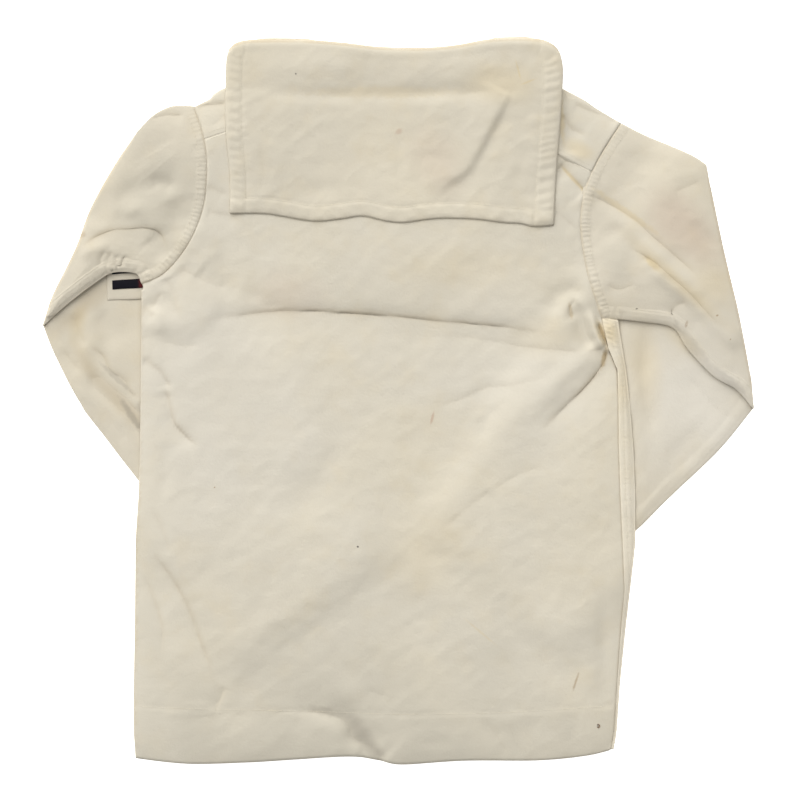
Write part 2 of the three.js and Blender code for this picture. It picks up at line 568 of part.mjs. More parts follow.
// The collar as one sheet: up the flap, round the roll, and down to the tip of the lapels
function buildCollar() {
  const [left, right, dip] = ['left', 'right', 'dip'].map((name) => column(FLAP, name));
  const roll = curveOf(ROLL);
  const flapRows = [194, 207, 221, 236, 253, 272, 292, 312, 331, 347];
  const half = COLLAR_CLOTH / 2;
  const rollStart = 8; // how far below the top edge the roll begins
  const lapelRows = 8;
  const rows = [];
  const across = (each) => Array.from({ length: COLLAR_SIDES + 1 }, (_, j) => each(j / COLLAR_SIDES));
  flapRows.forEach((y) => {
    rows.push(across((u) => {
      const x = left(y) + (right(y) - left(y)) * u;
      const py = y + dip(y) * u;
      return { p: new THREE.Vector3(x, py, flapMiddle(x, py)), n: new THREE.Vector3(0, 0, 1) };
    }));
  });
  const rollAt = (u, angle) => {
    const edge = roll.getPointAt(u);
    const base = edge.y - rollStart;
    const high = flapMiddle(edge.x, base);
    const radius = (high - half) / 2;
    const reach = rollStart - half;
    const n = new THREE.Vector3(0, Math.sin(angle) / reach, Math.cos(angle) / radius).normalize();
    return {
      p: new THREE.Vector3(edge.x, base + reach * Math.sin(angle),
        half + radius + radius * Math.cos(angle)),
      n,
    };
  };
  for (let k = 0; k <= 6; k += 1) rows.push(across((u) => rollAt(u, (Math.PI * k) / 6)));
  for (let k = 1; k <= lapelRows; k += 1) {
    const s = k / lapelRows;
    rows.push(across((u) => {
      const edge = roll.getPointAt(u);
      const tip = LAPEL_TIP.x + (u - 0.5) * 2 * LAPEL_TIP.half;
      const p = new THREE.Vector3(edge.x + (tip - edge.x) * s,
        edge.y - rollStart + (LAPEL_TIP.y - edge.y + rollStart) * s, half);
      return { p, n: new THREE.Vector3(0, 0, -1) };
    }));
  }
  const side = (lift) => rows.map((row) => row.map(({ p, n }) => p.clone().addScaledVector(n, lift)));
  const { halfTop, top, bottom, middle } = NECK_OPENING;
  const opening = prism(straight([
    { x: middle - halfTop, y: top - 11 }, { x: middle, y: bottom }, { x: middle + halfTop, y: top - 11 },
  ]), -HEM_PRISM / 2, HEM_PRISM / 2 + COLLAR_CLOTH + LIE_GAP / 2);
  return shell(side(half), side(-half)).subtract(opening);
}

// The sleeve mark: flat strips that lie on the forearm's upper wall
function buildStrip(x, y, length, width, lift) {
  const tilt = THREE.MathUtils.degToRad(MARK.tilt);
  const top = FOREARM_TOP + SEAM_GAP + lift;
  const at = (z) => [0, 1].map((i) => [0, 0.25, 0.5, 0.75, 1].map((s) => new THREE.Vector3(
    MARK.x + (x + length * s) * Math.cos(tilt) - (y + width * i) * Math.sin(tilt),
    MARK.y + (x + length * s) * Math.sin(tilt) + (y + width * i) * Math.cos(tilt),
    z,
  )));
  return shell(at(top + PATCH_CLOTH), at(top));
}
const stripeLift = PATCH_CLOTH + SEAM_GAP;
const buildStripe = (i) => buildStrip(STRIPE.inset, STRIPE.first + i * STRIPE.pitch,
  STRIPE.length, STRIPE.width, stripeLift);

const DRILL = { color: 0xd9d1be, roughness: 0.92, metalness: 0 };
const NAVY = { color: 0x17161c, roughness: 0.85, metalness: 0 };
const PIECES = [
  { name: 'front', solid: buildFront(), cloth: DRILL },
  { name: 'back', solid: buildBack(), cloth: DRILL },
  { name: 'yoke', solid: buildYoke(), cloth: DRILL },
  { name: 'sleeve_left', solid: buildSleeve(SLEEVES.left), cloth: DRILL },
  { name: 'sleeve_right', solid: buildSleeve(SLEEVES.right), cloth: DRILL },
  { name: 'collar', solid: buildCollar(), cloth: DRILL },
  { name: 'mark_ground', solid: buildStrip(0, 0, MARK.length, MARK.width, 0), cloth: DRILL },
  { name: 'mark_stripe_1', solid: buildStripe(0), cloth: NAVY },
  { name: 'mark_stripe_2', solid: buildStripe(1), cloth: NAVY },
];

const jumper = new THREE.Group();
PIECES.forEach(({ name, solid, cloth }) => {
  const mesh = new THREE.Mesh(toGeometry(solid), new THREE.MeshStandardMaterial(cloth));
  mesh.name = name;
  jumper.add(mesh);
});

export default jumper;
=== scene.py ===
import math
from collections import namedtuple

import bmesh
import bpy
import numpy as np
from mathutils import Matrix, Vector
from mathutils.bvhtree import BVHTree


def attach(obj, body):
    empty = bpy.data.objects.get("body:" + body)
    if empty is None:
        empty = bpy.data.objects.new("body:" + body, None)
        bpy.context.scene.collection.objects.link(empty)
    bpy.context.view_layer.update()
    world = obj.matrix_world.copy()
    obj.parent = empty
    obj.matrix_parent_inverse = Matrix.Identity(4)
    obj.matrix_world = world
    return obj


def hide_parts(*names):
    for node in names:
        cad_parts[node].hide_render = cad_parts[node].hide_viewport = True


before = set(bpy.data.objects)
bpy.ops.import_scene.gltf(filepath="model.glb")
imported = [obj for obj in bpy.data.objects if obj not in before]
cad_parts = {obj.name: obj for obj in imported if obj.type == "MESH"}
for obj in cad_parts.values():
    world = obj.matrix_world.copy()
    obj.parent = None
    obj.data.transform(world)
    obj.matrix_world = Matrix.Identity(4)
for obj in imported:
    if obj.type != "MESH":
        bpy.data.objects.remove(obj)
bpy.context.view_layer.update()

# Camera, table and light
# The jumper lies face down on a white light table and is seen from straight above. A broad window
# at the upper left and a bright room light it, so that its folds are soft and the table is white.
FRAME_WIDTH = 0.840  # metres of table across the picture
FRAME_MIDDLE = (0.0021, -0.0005)
CAMERA_HEIGHT = 4.0
SENSOR = 36.0
TABLE_SIZE = 14.0
TABLE_GAP = 0.0003  # under the lowest cloth
TABLE_FINISH = {"Base Color": (0.95, 0.95, 0.95, 1), "Roughness": 0.9, "Specular IOR Level": 0,
                "Emission Color": (1, 1, 1, 1), "Emission Strength": 0.8}
ROOM_LIGHT = 0.44
WINDOW_LIGHT = 3.45
WINDOW_SPREAD = math.radians(80)
WINDOW_FROM = Vector((-0.42, 0.88, 0.80))


def placed(name, data):
    """A new object in the scene."""
    thing = bpy.data.objects.new(name, data)
    bpy.context.scene.collection.objects.link(thing)
    return thing


camera = placed("camera", bpy.data.cameras.new("camera"))
camera.data.sensor_width = SENSOR
camera.data.lens = SENSOR * CAMERA_HEIGHT / FRAME_WIDTH
camera.data.clip_end = 5 * CAMERA_HEIGHT
camera.location = (*FRAME_MIDDLE, CAMERA_HEIGHT)
bpy.context.scene.camera = camera
bpy.context.scene.view_settings.view_transform = "Standard"

table_mesh = bpy.data.meshes.new("table")
half = TABLE_SIZE / 2
table_mesh.from_pydata([(-half, -half, -TABLE_GAP), (half, -half, -TABLE_GAP),
                        (half, half, -TABLE_GAP), (-half, half, -TABLE_GAP)], [], [(0, 1, 2, 3)])
table = placed("table", table_mesh)
table_paint = bpy.data.materials.new("white table")
table_paint.use_nodes = True
for socket, value in TABLE_FINISH.items():
    table_paint.node_tree.nodes["Principled BSDF"].inputs[socket].default_value = value
table_mesh.materials.append(table_paint)

window = placed("window", bpy.data.lights.new("window", "SUN"))
window.data.energy = WINDOW_LIGHT
window.data.angle = WINDOW_SPREAD
window.rotation_euler = WINDOW_FROM.to_track_quat("Z", "Y").to_euler()
room = bpy.data.worlds.new("room")
room.use_nodes = True
room.node_tree.nodes["Background"].inputs["Color"].default_value = (1, 1, 1, 1)
room.node_tree.nodes["Background"].inputs["Strength"].default_value = ROOM_LIGHT
bpy.context.scene.world = room

# Front
# The front lies on the table, over both folded forearms: one width of white cotton drill with a V
# cut down from the neck. On the right it comes round the fold to the side seam, where it shows as a
# strip with the two rows of a felled seam. All tables are in millimetres, seen from above.
MM = 0.001
CLOTH = 1.2  # room that one layer takes
DRILL = 1.0  # wall of the drill itself
LIE_GAP = 0.5  # least air between two layers
PUFF = 4.2  # extra air between front and back, well inside the edges
PUFF_REACH = 16
FOREARM_HIGH = 2.6  # middle of the forearm's upper wall over the table
FOREARM_CROWN = 0.6
FOREARM_LEVEL = 5.1  # what lies over a forearm
MARK_LEVEL = 7.4  # and over the sleeve mark on it
LAPEL_LEVEL = 2.1
SPILL = 44  # cloth slopes down over this distance from what lies under it
SPILL_MARGIN = 20
ROUNDING = 9  # of the corners of what lies under the cloth
BLEND = 0.5  # how softly the cloth passes from one support to the next
ROUND = 1.5  # reach of a folded side edge
SIDE_TURN = 14  # the back turns under the left edge as far as this
GRID = 2.9  # usual distance between the points of a piece
WELD = 0.02
ROWS_APART = 1.45  # between the front's rows of points, fine enough for the strip's gathers
COLUMNS_APART = 8.5
BODY_TALL = 690
HALF_WIDE = 250

BodyRow = namedtuple("BodyRow", "y left right seam")
BODY = [
    BodyRow(-384, -275.0, 223.5, 220.5), BodyRow(-350, -277.5, 229.5, 226.0),
    BodyRow(-300, -277.5, 233.0, 229.3), BodyRow(-250, -276.5, 238.0, 232.8),
    BodyRow(-200, -276.0, 243.5, 237.0), BodyRow(-150, -275.5, 249.0, 235.0),
    BodyRow(-100, -272.0, 249.0, 232.6), BodyRow(-50, -270.5, 247.0, 231.0),
    BodyRow(0, -270.0, 243.0, 230.6), BodyRow(31, -269.8, 239.5, 229.6),
    BodyRow(54, -269.5, 235.5, 220.0), BodyRow(76, -269.0, 232.0, 215.0),
    BodyRow(122, -268.8, 226.0, 208.0),
]
FOOT = BODY[0].y
HEM_LEFT, HEM_RIGHT = -376.5, -367
ARMPIT_LEFT, ARMPIT_RIGHT = 121, 86
HEM = [(-275, -376.5), (-220, -382), (-157, -380.6), (-107, -377.5), (-50, -374.3), (-20, -378.5),
       (5, -382.7), (69, -378.8), (145, -378.5), (195, -374), (225, -367.5)]
ARMHOLE_LEFT = [(-268.8, 121), (-244.7, 131.8), (-219.5, 162.2), (-204, 200), (-200, 241),
                (-203, 273.5), (-214, 307)]
ARMHOLE_RIGHT = [(213, 86), (198.5, 130.7), (191, 180), (195.3, 218), (211, 253.6), (234, 290)]
SHOULDER_LEFT = [(-214, 307), (-195, 316.6), (-181.6, 326.6), (-80, 366)]
SHOULDER_RIGHT = [(234, 290), (208, 305.5), (182.7, 321), (86, 366)]
V_FOOT = (2, 160)  # bottom of the neck's V
# A sleeve's fold is its elbow. Its upper and lower edges run there from the armhole, and its
# forearm's two edges run from there to the cuff. outward is -1 for the sleeve on the left.
Sleeve = namedtuple("Sleeve", "fold upper lower underarm overarm outward")
SLEEVE_LEFT = Sleeve(
    fold=[(-372.6, 77), (-363, 106.6), (-348.6, 136), (-334, 165), (-324.5, 195), (-309.8, 224),
          (-292, 253.6), (-272, 283)],
    upper=[(-214, 307), (-233, 308), (-246, 304), (-258, 296.6), (-272, 283)],
    lower=[(-268.8, 121), (-272, 130), (-282, 133.5), (-301, 132.5), (-318, 122), (-338, 107),
           (-355, 93), (-372, 77)],
    underarm=[(-372, 77), (-359, 44.6), (-334, -2.6), (-308.7, -38.3), (-160, -225)],
    overarm=[(-268, 284), (-163, 70), (-59, -151)],
    outward=-1)
SLEEVE_RIGHT = Sleeve(
    fold=[(373, -10), (371, 15), (368, 33), (356.5, 92), (342.5, 151), (330.3, 209.5), (323, 247)],
    upper=[(234, 290), (258, 277.7), (283.5, 267), (308.7, 255.6), (323, 247)],
    lower=[(213, 86), (252, 82), (288, 75.5), (303, 54), (330, 25), (355, 10), (373, -10)],
    underarm=[(373, -12), (334, -56), (271, -116), (172, -213)],
    overarm=[(320, 243), (200, 54), (79, -127)],
    outward=1)
MARK_CORNERS = [(-305, 102), (-221, 102), (-221, 152), (-305, 152)]
LAPEL_CORNERS = [(-190, 362), (2, 130), (182, 362), (182, 390), (-190, 390)]


def smooth(share):
    """0 below 0, 1 above 1, and an even rise between them."""
    share = np.clip(share, 0, 1)
    return share * share * (3 - 2 * share)


def evenly(line, count):
    """The same line as count places at even distances."""
    gone = np.concatenate([[0], np.cumsum(np.hypot(*np.diff(line, axis=0).T))])
    places = np.linspace(0, gone[-1], count)
    return np.stack([np.interp(places, gone, line[:, k]) for k in (0, 1)], axis=1)


def curve(points, count=60):
    """A smooth line through points, as count places at even distances."""
    knots = np.array([points[0], *points, points[-1]], float)
    place = np.linspace(0, len(points) - 1, 30 * len(points))
    start = np.minimum(place.astype(int), len(points) - 2)
    share = (place - start)[:, None]
    a, b, c, d = (knots[start + k] for k in range(4))
    bend = 2 * a - 5 * b + 4 * c - d + share * (3 * (b - c) + d - a)
    return evenly(b + share / 2 * (c - a + share * bend), count)


def on(line, share):
    """The places at shares of the way along a line."""
    steps = np.asarray(share) * (len(line) - 1)
    return np.stack([np.interp(steps, np.arange(len(line)), line[:, k]) for k in (0, 1)], axis=-1)


def joined(*lines, count=200):
    """Several lines, end to end, as one."""
    return evenly(np.vstack(lines), count)


def column(name):
    """One column of the body's table, as a function of y."""
    heights = [row.y for row in BODY]
    return lambda y: np.interp(y, heights, [getattr(row, name) for row in BODY])


left_edge, right_edge, side_seam = column("left"), column("right"), column("seam")


def edge_line(edge_of, low, high, shift=0.0):
    """A side of the body between two heights."""
    heights = np.linspace(low, high, 90)
    return np.stack([edge_of(heights) + shift, heights], axis=1)


def beside(line, x, y):
    """Where each place lies by a line: its share of the way along, how far it is to the line's left,
    and the direction of that left."""
    nearest = np.full(x.shape, np.inf)
    share, off, left_x, left_y = (np.zeros(x.shape) for _ in range(4))
    for i, ((ax, ay), (bx, by)) in enumerate(zip(line[:-1], line[1:])):
        dx, dy = bx - ax, by - ay
        length = math.hypot(dx, dy) or 1e-9
        t = np.clip(((x - ax) * dx + (y - ay) * dy) / length ** 2, 0, 1)
        gap = np.hypot(x - ax - t * dx, y - ay - t * dy)
        side = np.where((y - ay) * dx - (x - ax) * dy >= 0, 1.0, -1.0)
        here = gap < nearest
        nearest = np.where(here, gap, nearest)
        share = np.where(here, (i + t) / (len(line) - 1), share)
        off = np.where(here, gap * side, off)
        left_x = np.where(here, -dy / length, left_x)
        left_y = np.where(here, dx / length, left_y)
    return share, off, left_x, left_y


def distance(line, x, y):
    """How far each place is from a line."""
    return np.abs(beside(line, x, y)[1])


def rumple(x, y, size, seed):
    """Soft random heights from about -1 to 1, with lumps about size across."""
    lattice = np.random.default_rng(seed).uniform(-1, 1, (128, 128))
    u, v = x / size + 50.3, y / size + 50.7
    i, j = np.floor(u).astype(int), np.floor(v).astype(int)
    s, t = smooth(u - i), smooth(v - j)
    i, j = i % 127, j % 127
    near = lattice[i, j] * (1 - s) + lattice[i + 1, j] * s
    far = lattice[i, j + 1] * (1 - s) + lattice[i + 1, j + 1] * s
    return near * (1 - t) + far * t


def depth_in(corners, x, y):
    """How far each place lies inside a convex outline that runs anticlockwise."""
    total = 0
    for (ax, ay), (bx, by) in zip(corners, corners[1:] + corners[:1]):
        across = (bx - ax) * (y - ay) - (by - ay) * (x - ax)
        total = total + np.exp(-across / math.hypot(bx - ax, by - ay) / ROUNDING)
    return -ROUNDING * np.log(total)


FOREARMS = [
    [SLEEVE_LEFT.underarm[0], SLEEVE_LEFT.underarm[3], SLEEVE_LEFT.underarm[-1],
     SLEEVE_LEFT.overarm[-1], SLEEVE_LEFT.overarm[0], SLEEVE_LEFT.fold[3]],
    [SLEEVE_RIGHT.underarm[0], SLEEVE_RIGHT.fold[2], SLEEVE_RIGHT.overarm[0],
     SLEEVE_RIGHT.overarm[-1], SLEEVE_RIGHT.underarm[-1], SLEEVE_RIGHT.underarm[1]],
]
SUPPORTS = [(FOREARM_LEVEL, FOREARMS[0]), (FOREARM_LEVEL, FOREARMS[1]), (MARK_LEVEL, MARK_CORNERS),
            (LAPEL_LEVEL, LAPEL_CORNERS)]


def support(x, y):
    """Height of what the front lies on: the table, the forearms, the sleeve mark and the lapels."""
    levels = [level * smooth((depth_in(corners, x, y) + SPILL + SPILL_MARGIN) / SPILL)
              for level, corners in SUPPORTS]
    return BLEND * np.log(sum(np.exp(level / BLEND) for level in levels) - len(levels) + 1)


def front_middle(x, y):
    """Middle of the front: it lies slack on what is under it, and flat on the table."""
    return support(x, y) + CLOTH / 2 + 0.18 * rumple(x, y, 60, 11) * smooth(support(x, y))


SHOULDERS = [curve(SHOULDER_LEFT, 24), curve(SHOULDER_RIGHT, 24)]
RIMS = [curve(getattr(sleeve, name), 17) for sleeve in (SLEEVE_LEFT, SLEEVE_RIGHT)
        for name in ("fold", "upper", "lower")] + SHOULDERS
RIMS.append(edge_line(left_edge, FOOT, ARMPIT_LEFT)[::8])
RIMS.append(edge_line(right_edge, FOOT, ARMPIT_RIGHT)[::8])


def inset(x, y):
    """How far each place lies from where front and back come together."""
    return np.minimum.reduce([distance(rim, x, y) for rim in RIMS])


def under_back(x, y):
    """Underside of the upper layer, before its folds."""
    air = LIE_GAP + PUFF * (1 - np.exp(-inset(x, y) / PUFF_REACH))
    return support(x, y) + CLOTH + air


def patch(bottom, top, left, right, u, v):
    """Plan places between four edges: one row for each v from bottom to top, one column for each u."""
    low, high, west, east = on(bottom, u), on(top, u), on(left, v), on(right, v)
    across, up = np.asarray(u)[None, :, None], np.asarray(v)[:, None, None]
    corners = ((1 - across) * (1 - up) * low[0] + across * (1 - up) * low[-1]
               + (1 - across) * up * high[0] + across * up * high[-1])
    return ((1 - up) * low + up * high + (1 - across) * west[:, None] + across * east[:, None]
            - corners)


def shares(length, step=GRID):
    """Even shares for a side of that length."""
    return np.linspace(0, 1, max(2, round(length / step) + 1))


def graded(*stops):
    """Shares of a side that is divided unevenly: up to each stop, its number of even steps."""
    places = np.zeros(1)
    for stop, steps in stops:
        places = np.concatenate([places, np.linspace(places[-1], stop, steps + 1)[1:]])
    return places


def fold_round(x, y, low, high, outward):
    """Columns of places round a folded side edge, from the lower layer up to the upper one."""
    for angle in np.radians(np.linspace(-90, 90, 9))[1:-1]:
        yield np.stack([x + outward * ROUND * math.cos(angle), y,
                        (high + low) / 2 + (high - low) / 2 * math.sin(angle)], axis=1)


def with_height(plan, height_of):
    """Plan places with the height that a function gives them."""
    return np.dstack([plan, height_of(plan[..., 0], plan[..., 1])])


def sewn(name, grids, flip=False, wall=DRILL, dirt_and_shade=None, closed=False):
    """One sheet of cloth from grids of places in millimetres, welded where their edges meet. Its UV
    map, cloth, is in metres. flip turns it face down, closed joins last column to first, and the
    shares that go with the grids set how much of the brown for dirt and painted shade each place
    shows."""
    shape = bmesh.new()
    cloth = shape.loops.layers.uv.new("cloth")
    darkening = shape.verts.layers.float.new("dirt_and_shade")
    for number, grid in enumerate(grids):
        rows, columns = grid.shape[:2]
        along = np.concatenate([[0], np.cumsum(np.linalg.norm(
            np.diff(grid.mean(axis=0), axis=0), axis=1))])
        up = np.concatenate([[0], np.cumsum(np.linalg.norm(
            np.diff(grid.mean(axis=1), axis=0), axis=1))])
        points = [[shape.verts.new(place) for place in row] for row in (grid * MM).tolist()]
        if dirt_and_shade is not None:
            for row, values in zip(points, dirt_and_shade[number]):
                for point, value in zip(row, values):
                    point[darkening] = value
        last = columns if closed else columns - 1
        for i in range(rows - 1):
            for j in range(last):
                k = (j + 1) % columns
                corners = [(i, j), (i, k), (i + 1, k), (i + 1, j)]
                if flip:
                    corners.reverse()
                face = shape.faces.new([points[a][b] for a, b in corners])
                face.smooth = True
                for loop, (a, b) in zip(face.loops, corners):
                    wide = along[b] if b >= j else along[-1] + GRID
                    loop[cloth].uv = (wide * MM, up[a] * MM)
    bmesh.ops.remove_doubles(shape, verts=shape.verts, dist=WELD * MM)
    mesh = bpy.data.meshes.new(name)
    shape.to_mesh(mesh)
    shape.free()
    piece = placed(name, mesh)
    thick = piece.modifiers.new("wall", "SOLIDIFY")
    thick.thickness = wall * MM
    thick.offset = 0
    return piece


def dress(piece, material, node):
    """Gives a sheet its material and its body, and hides the part of its node."""
    piece.data.materials.append(material)
    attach(piece, "root")
    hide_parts(node)


class Sock:
    """A socket in a material. Sums, differences and products of sockets add Math nodes."""

    def __init__(self, tree, socket=None):
        self.tree, self.socket = tree, socket

    def node(self, kind, settings=None, values=None, output=0):
        """Adds any other node: its settings first, then the values or links of its sockets."""
        made = self.tree.nodes.new(kind)
        for name, value in (settings or {}).items():
            setattr(made, name, value)
        for name, value in (values or {}).items():
            if isinstance(value, Sock):
                self.tree.links.new(value.socket, made.inputs[name])
            else:
                made.inputs[name].default_value = value
        return Sock(self.tree, made.outputs[output])

    def maths(self, operation, *others):
        values = dict(enumerate((self, *others)))
        return self.node("ShaderNodeMath", {"operation": operation}, values)

    def __add__(self, other):
        return self.maths("ADD", other)

    def __sub__(self, other):
        return self.maths("SUBTRACT", other)

    def __rsub__(self, other):
        return self.maths("MULTIPLY_ADD", -1, other)

    def __mul__(self, other):
        return self.maths("MULTIPLY", other)

    __radd__, __rmul__ = __add__, __mul__

    def rise(self, low, high):
        """0 at low and 1 at high, with an even rise between them."""
        return self.node("ShaderNodeMapRange", {"interpolation_type": "SMOOTHSTEP"},
                         {"Value": self, "From Min": low, "From Max": high})

    def mixed(self, first, second):
        """This share of the second colour in the first."""
        return self.node("ShaderNodeMix", {"data_type": "RGBA"}, {0: self, 6: first, 7: second}, 2)

    def clouds(self, scale, detail):
        """Noise over these places."""
        return self.node("ShaderNodeTexNoise", {}, {"Vector": self, "Scale": scale, "Detail": detail})

    def bump(self, strength, distance, **under):
        """This height as a bump, over any normal under it."""
        values = {"Strength": strength, "Distance": distance, "Height": self, **under}
        return self.node("ShaderNodeBump", {}, values)


def finish(name, **fixed):
    """A new material with fixed values on its shader. Gives the material, its Object places, and a
    function that feeds a socket of its shader."""
    material = bpy.data.materials.new(name)
    material.use_nodes = True
    tree = material.node_tree
    shader = tree.nodes["Principled BSDF"]
    for socket, value in fixed.items():
        shader.inputs[socket.replace("_", " ")].default_value = value

    def feed(socket, value):
        tree.links.new(value.socket, shader.inputs[socket])

    return material, Sock(tree).node("ShaderNodeTexCoord", output="Object"), feed


def cloth_sides(place):
    """The two places of the UV map, across and along the cloth."""
    cloth = place.node("ShaderNodeUVMap", {"uv_map": "cloth"})
    parts = place.node("ShaderNodeSeparateXYZ", {}, {0: cloth}).socket.node
    return Sock(place.tree, parts.outputs["X"]), Sock(place.tree, parts.outputs["Y"])


Spot = namedtuple("Spot", "x y long wide turn depth colour")
YELLOW = (0.60, 0.48, 0.27, 1)
BROWN = (0.30, 0.19, 0.09, 1)
# A brown for dirt and for painted shade.
DIRT_AND_SHADE_BROWN = (0.42, 0.32, 0.18, 1)
RUST = (0.42, 0.24, 0.16, 1)
DARK = (0.05, 0.04, 0.04, 1)
TWILL = 0.0009  # from rib to rib
BROAD = 18  # wider spots than this have soft edges
WARM = (0.655, 0.590, 0.455, 1)
GREY = (0.512, 0.474, 0.388, 1)
SHADE = (0.30, 0.27, 0.22, 1)
PALE = (0.665, 0.625, 0.545, 1)
Cloud = namedtuple("Cloud", "scale detail low high depth colour")
CLOUDS = [Cloud(10, 4, 0.5, 0.8, 0.30, GREY), Cloud(38, 5, 0.45, 0.8, 0.14, YELLOW),
          Cloud(700, 2, 0.4, 0.8, 0.10, GREY)]


def drill(name, tint, spots=(), warmth=0.5):
    """Washed cotton drill: a fine twill with soft wrinkles, clouds of yellowing and grey, a brown for
    dirt and painted shade in the folds and where edges turn under, and its own spots, some of them
    painted shade."""
    material, place, feed = finish(name, Specular_IOR_Level=0.2, Sheen_Weight=0.08)
    colour = (place.clouds(6.5, 3).rise(0.35, 0.72) * warmth).mixed(tint, WARM)
    for cloud in CLOUDS:
        share = place.clouds(cloud.scale, cloud.detail).rise(cloud.low, cloud.high) * cloud.depth
        colour = share.mixed(colour, cloud.colour)
    dirt_and_shade = place.node("ShaderNodeAttribute", {"attribute_name": "dirt_and_shade"}, output="Fac")
    # The brown that the mesh attribute gives: darker along the seams, dirt on the collar's roll, dirt
    # and painted shade in sharp creases, and painted shade where edges turn under.
    colour = (dirt_and_shade * place.clouds(60, 3).rise(0.1, 0.6) * 0.4).mixed(colour, DIRT_AND_SHADE_BROWN)
    ragged, drifting = place.clouds(190, 3), place.clouds(14, 2)
    for spot in spots:
        centred = place.node("ShaderNodeMapping", {"vector_type": "TEXTURE"}, {
            "Vector": place, "Location": (spot.x * MM, spot.y * MM, 0),
            "Rotation": (0, 0, math.radians(spot.turn)),
            "Scale": (spot.long / 2 * MM, spot.wide / 2 * MM, 1)})
        reach = place.node("ShaderNodeVectorMath", {"operation": "LENGTH"}, {0: centred}, "Value")
        wide = spot.wide > BROAD
        edge = (drifting if wide else ragged) - 0.5
        mask = 1 - (reach + edge * 0.9).rise(0.1 if wide else 0.35, 1.25 if wide else 1.1)
        colour = (mask * spot.depth).mixed(colour, spot.colour)
    feed("Base Color", colour)
    across, along = cloth_sides(place)
    weave = ((across + along) * (2 * math.pi / TWILL)).maths("SINE").bump(0.35, 0.00006)
    wrinkle = place.clouds(85, 3) * 0.7 + place.clouds(320, 2) * 0.3
    feed("Normal", wrinkle.bump(0.55, 0.0010, Normal=weave))
    feed("Roughness", place.clouds(120, 2) * 0.10 + 0.84)
    return material


# Creases are listed one by one. Each is a trough, or a ridge where its depth is above 0, with its own
# reach to the left and right of its path. A sharp one has its right side pushed over its left. It
# rises and dies away over a share of its length at its start and its end.
Crease = namedtuple("Crease", "depth left right over path start end", defaults=(0.30, 0.30))
CREASE_POINTS = 26
UNEVEN = 28  # a crease's depth wavers over about this distance
STEP = 1.7  # a pushed side falls away over this width
DARKENING_OFF, DARKENING_REACH = 1.5, 3.0  # dirt and painted shade lie this far to the left of a sharp crease, on its dark side
PULL = 11.0  # points this near a sharp crease are drawn towards it
HOLD = 0.04  # share of a piece's side over which creases leave its edge alone
FRONT_CREASES = [
    Crease(2.0, 10, 16, 0, [(-196, -70), (-150, -44), (-96, -36), (-40, -44)]),
    Crease(1.6, 14, 8, 0, [(60, -60), (96, -96), (118, -140), (124, -190)], 0.25, 0.35),
    Crease(1.8, 9, 13, 0, [(-120, -180), (-84, -214), (-70, -262)]),
    Crease(1.3, 12, 12, 0, [(-20, -150), (20, -176), (70, -186)], 0.35),
    Crease(1.5, 8, 14, 0, [(-226, -190), (-206, -240), (-214, -300)], 0.30, 0.25),
    Crease(2.2, 12, 9, 0, [(10, 96), (30, 62), (70, 44), (120, 46)], 0.30, 0.35),
    Crease(1.2, 8, 11, 0, [(-70, 120), (-96, 80), (-104, 30)]),
    Crease(1.7, 10, 10, 0, [(150, -240), (178, -276), (190, -322)], 0.25),
    Crease(1.1, 7, 9, 0, [(-10, -290), (28, -304), (70, -306)]),
    Crease(1.0, 9, 7, 0, [(-150, 10), (-120, -10), (-88, -8)], 0.30, 0.35),
]


def crease_parts(crease, x, y):
    """Where a crease works, and there its strength, its side and its left."""
    line = curve(crease.path, CREASE_POINTS)
    reach = 3.2 * max(crease.left, crease.right, PULL / 2)
    low, high = line.min(axis=0) - reach, line.max(axis=0) + reach
    near = (x > low[0]) & (x < high[0]) & (y > low[1]) & (y < high[1])
    share, off, left_x, left_y = beside(line, x[near], y[near])
    length = np.hypot(*np.diff(line, axis=0).T).sum()
    wave = 0.92 + 0.30 * rumple(share * length, share * 0, UNEVEN, int(abs(line[0, 0])))
    strength = smooth(share / crease.start) * smooth((1 - share) / crease.end) * wave
    return near, strength, off, left_x, left_y


def creased(creases, x, y):
    """The height that a table of creases adds, and the brown that their sharp ones paint: dirt and
    painted shade.
    """
    height, darkening = np.zeros(x.shape), np.zeros(x.shape)
    for crease in creases:
        near, strength, off, _, _ = crease_parts(crease, x, y)
        away = np.where(off > 0, off / crease.left, -off / crease.right)
        sharp = crease.over > 0
        away = away ** 1.15 if sharp else away ** 2
        height[near] += crease.depth * strength * np.exp(-away)
        # Beside a sharp crease, on its dark side, the cloth is painted brown: partly dirt, partly
        # painted shade.
        crease_darkening = np.exp(-((off - DARKENING_OFF) / DARKENING_REACH) ** 2) * strength * min(1, crease.over / 1.6)
        darkening[near] = np.maximum(darkening[near], crease_darkening)
    return height, np.clip(darkening, 0, 1)


def drawn(creases, plan, hold):
    """Plan places drawn towards the sharp creases, where the cloth bends most. hold is 0 where the
    points have to stay."""
    plan = plan.copy()
    for crease in creases:
        if crease.over <= 0:
            continue
        near, strength, off, left_x, left_y = crease_parts(crease, plan[..., 0], plan[..., 1])
        close = np.clip(np.abs(off) / PULL, 1e-6, 1)
        wanted = np.where(close < 1, np.sign(off) * PULL * close ** 1.55, off)
        shift = (wanted - off) * np.clip(1.5 * strength, 0, 1) * hold[near]
        plan[near] += np.stack([shift * left_x, shift * left_y], axis=1)
    return plan


def overhung(creases, grid, hold):
    """The grid with the right side of each sharp crease pushed over its left."""
    grid = grid.copy()
    x, y = grid[..., 0].copy(), grid[..., 1].copy()
    for crease in creases:
        if crease.over <= 0:
            continue
        near, strength, off, left_x, left_y = crease_parts(crease, x, y)
        push = crease.over * strength * np.exp(-(np.abs(off) / 4.0) ** 1.5)
        push = push * smooth(1 - off / STEP) * hold[near]
        grid[near] += np.stack([push * left_x, push * left_y, push * 0], axis=1)
    return grid


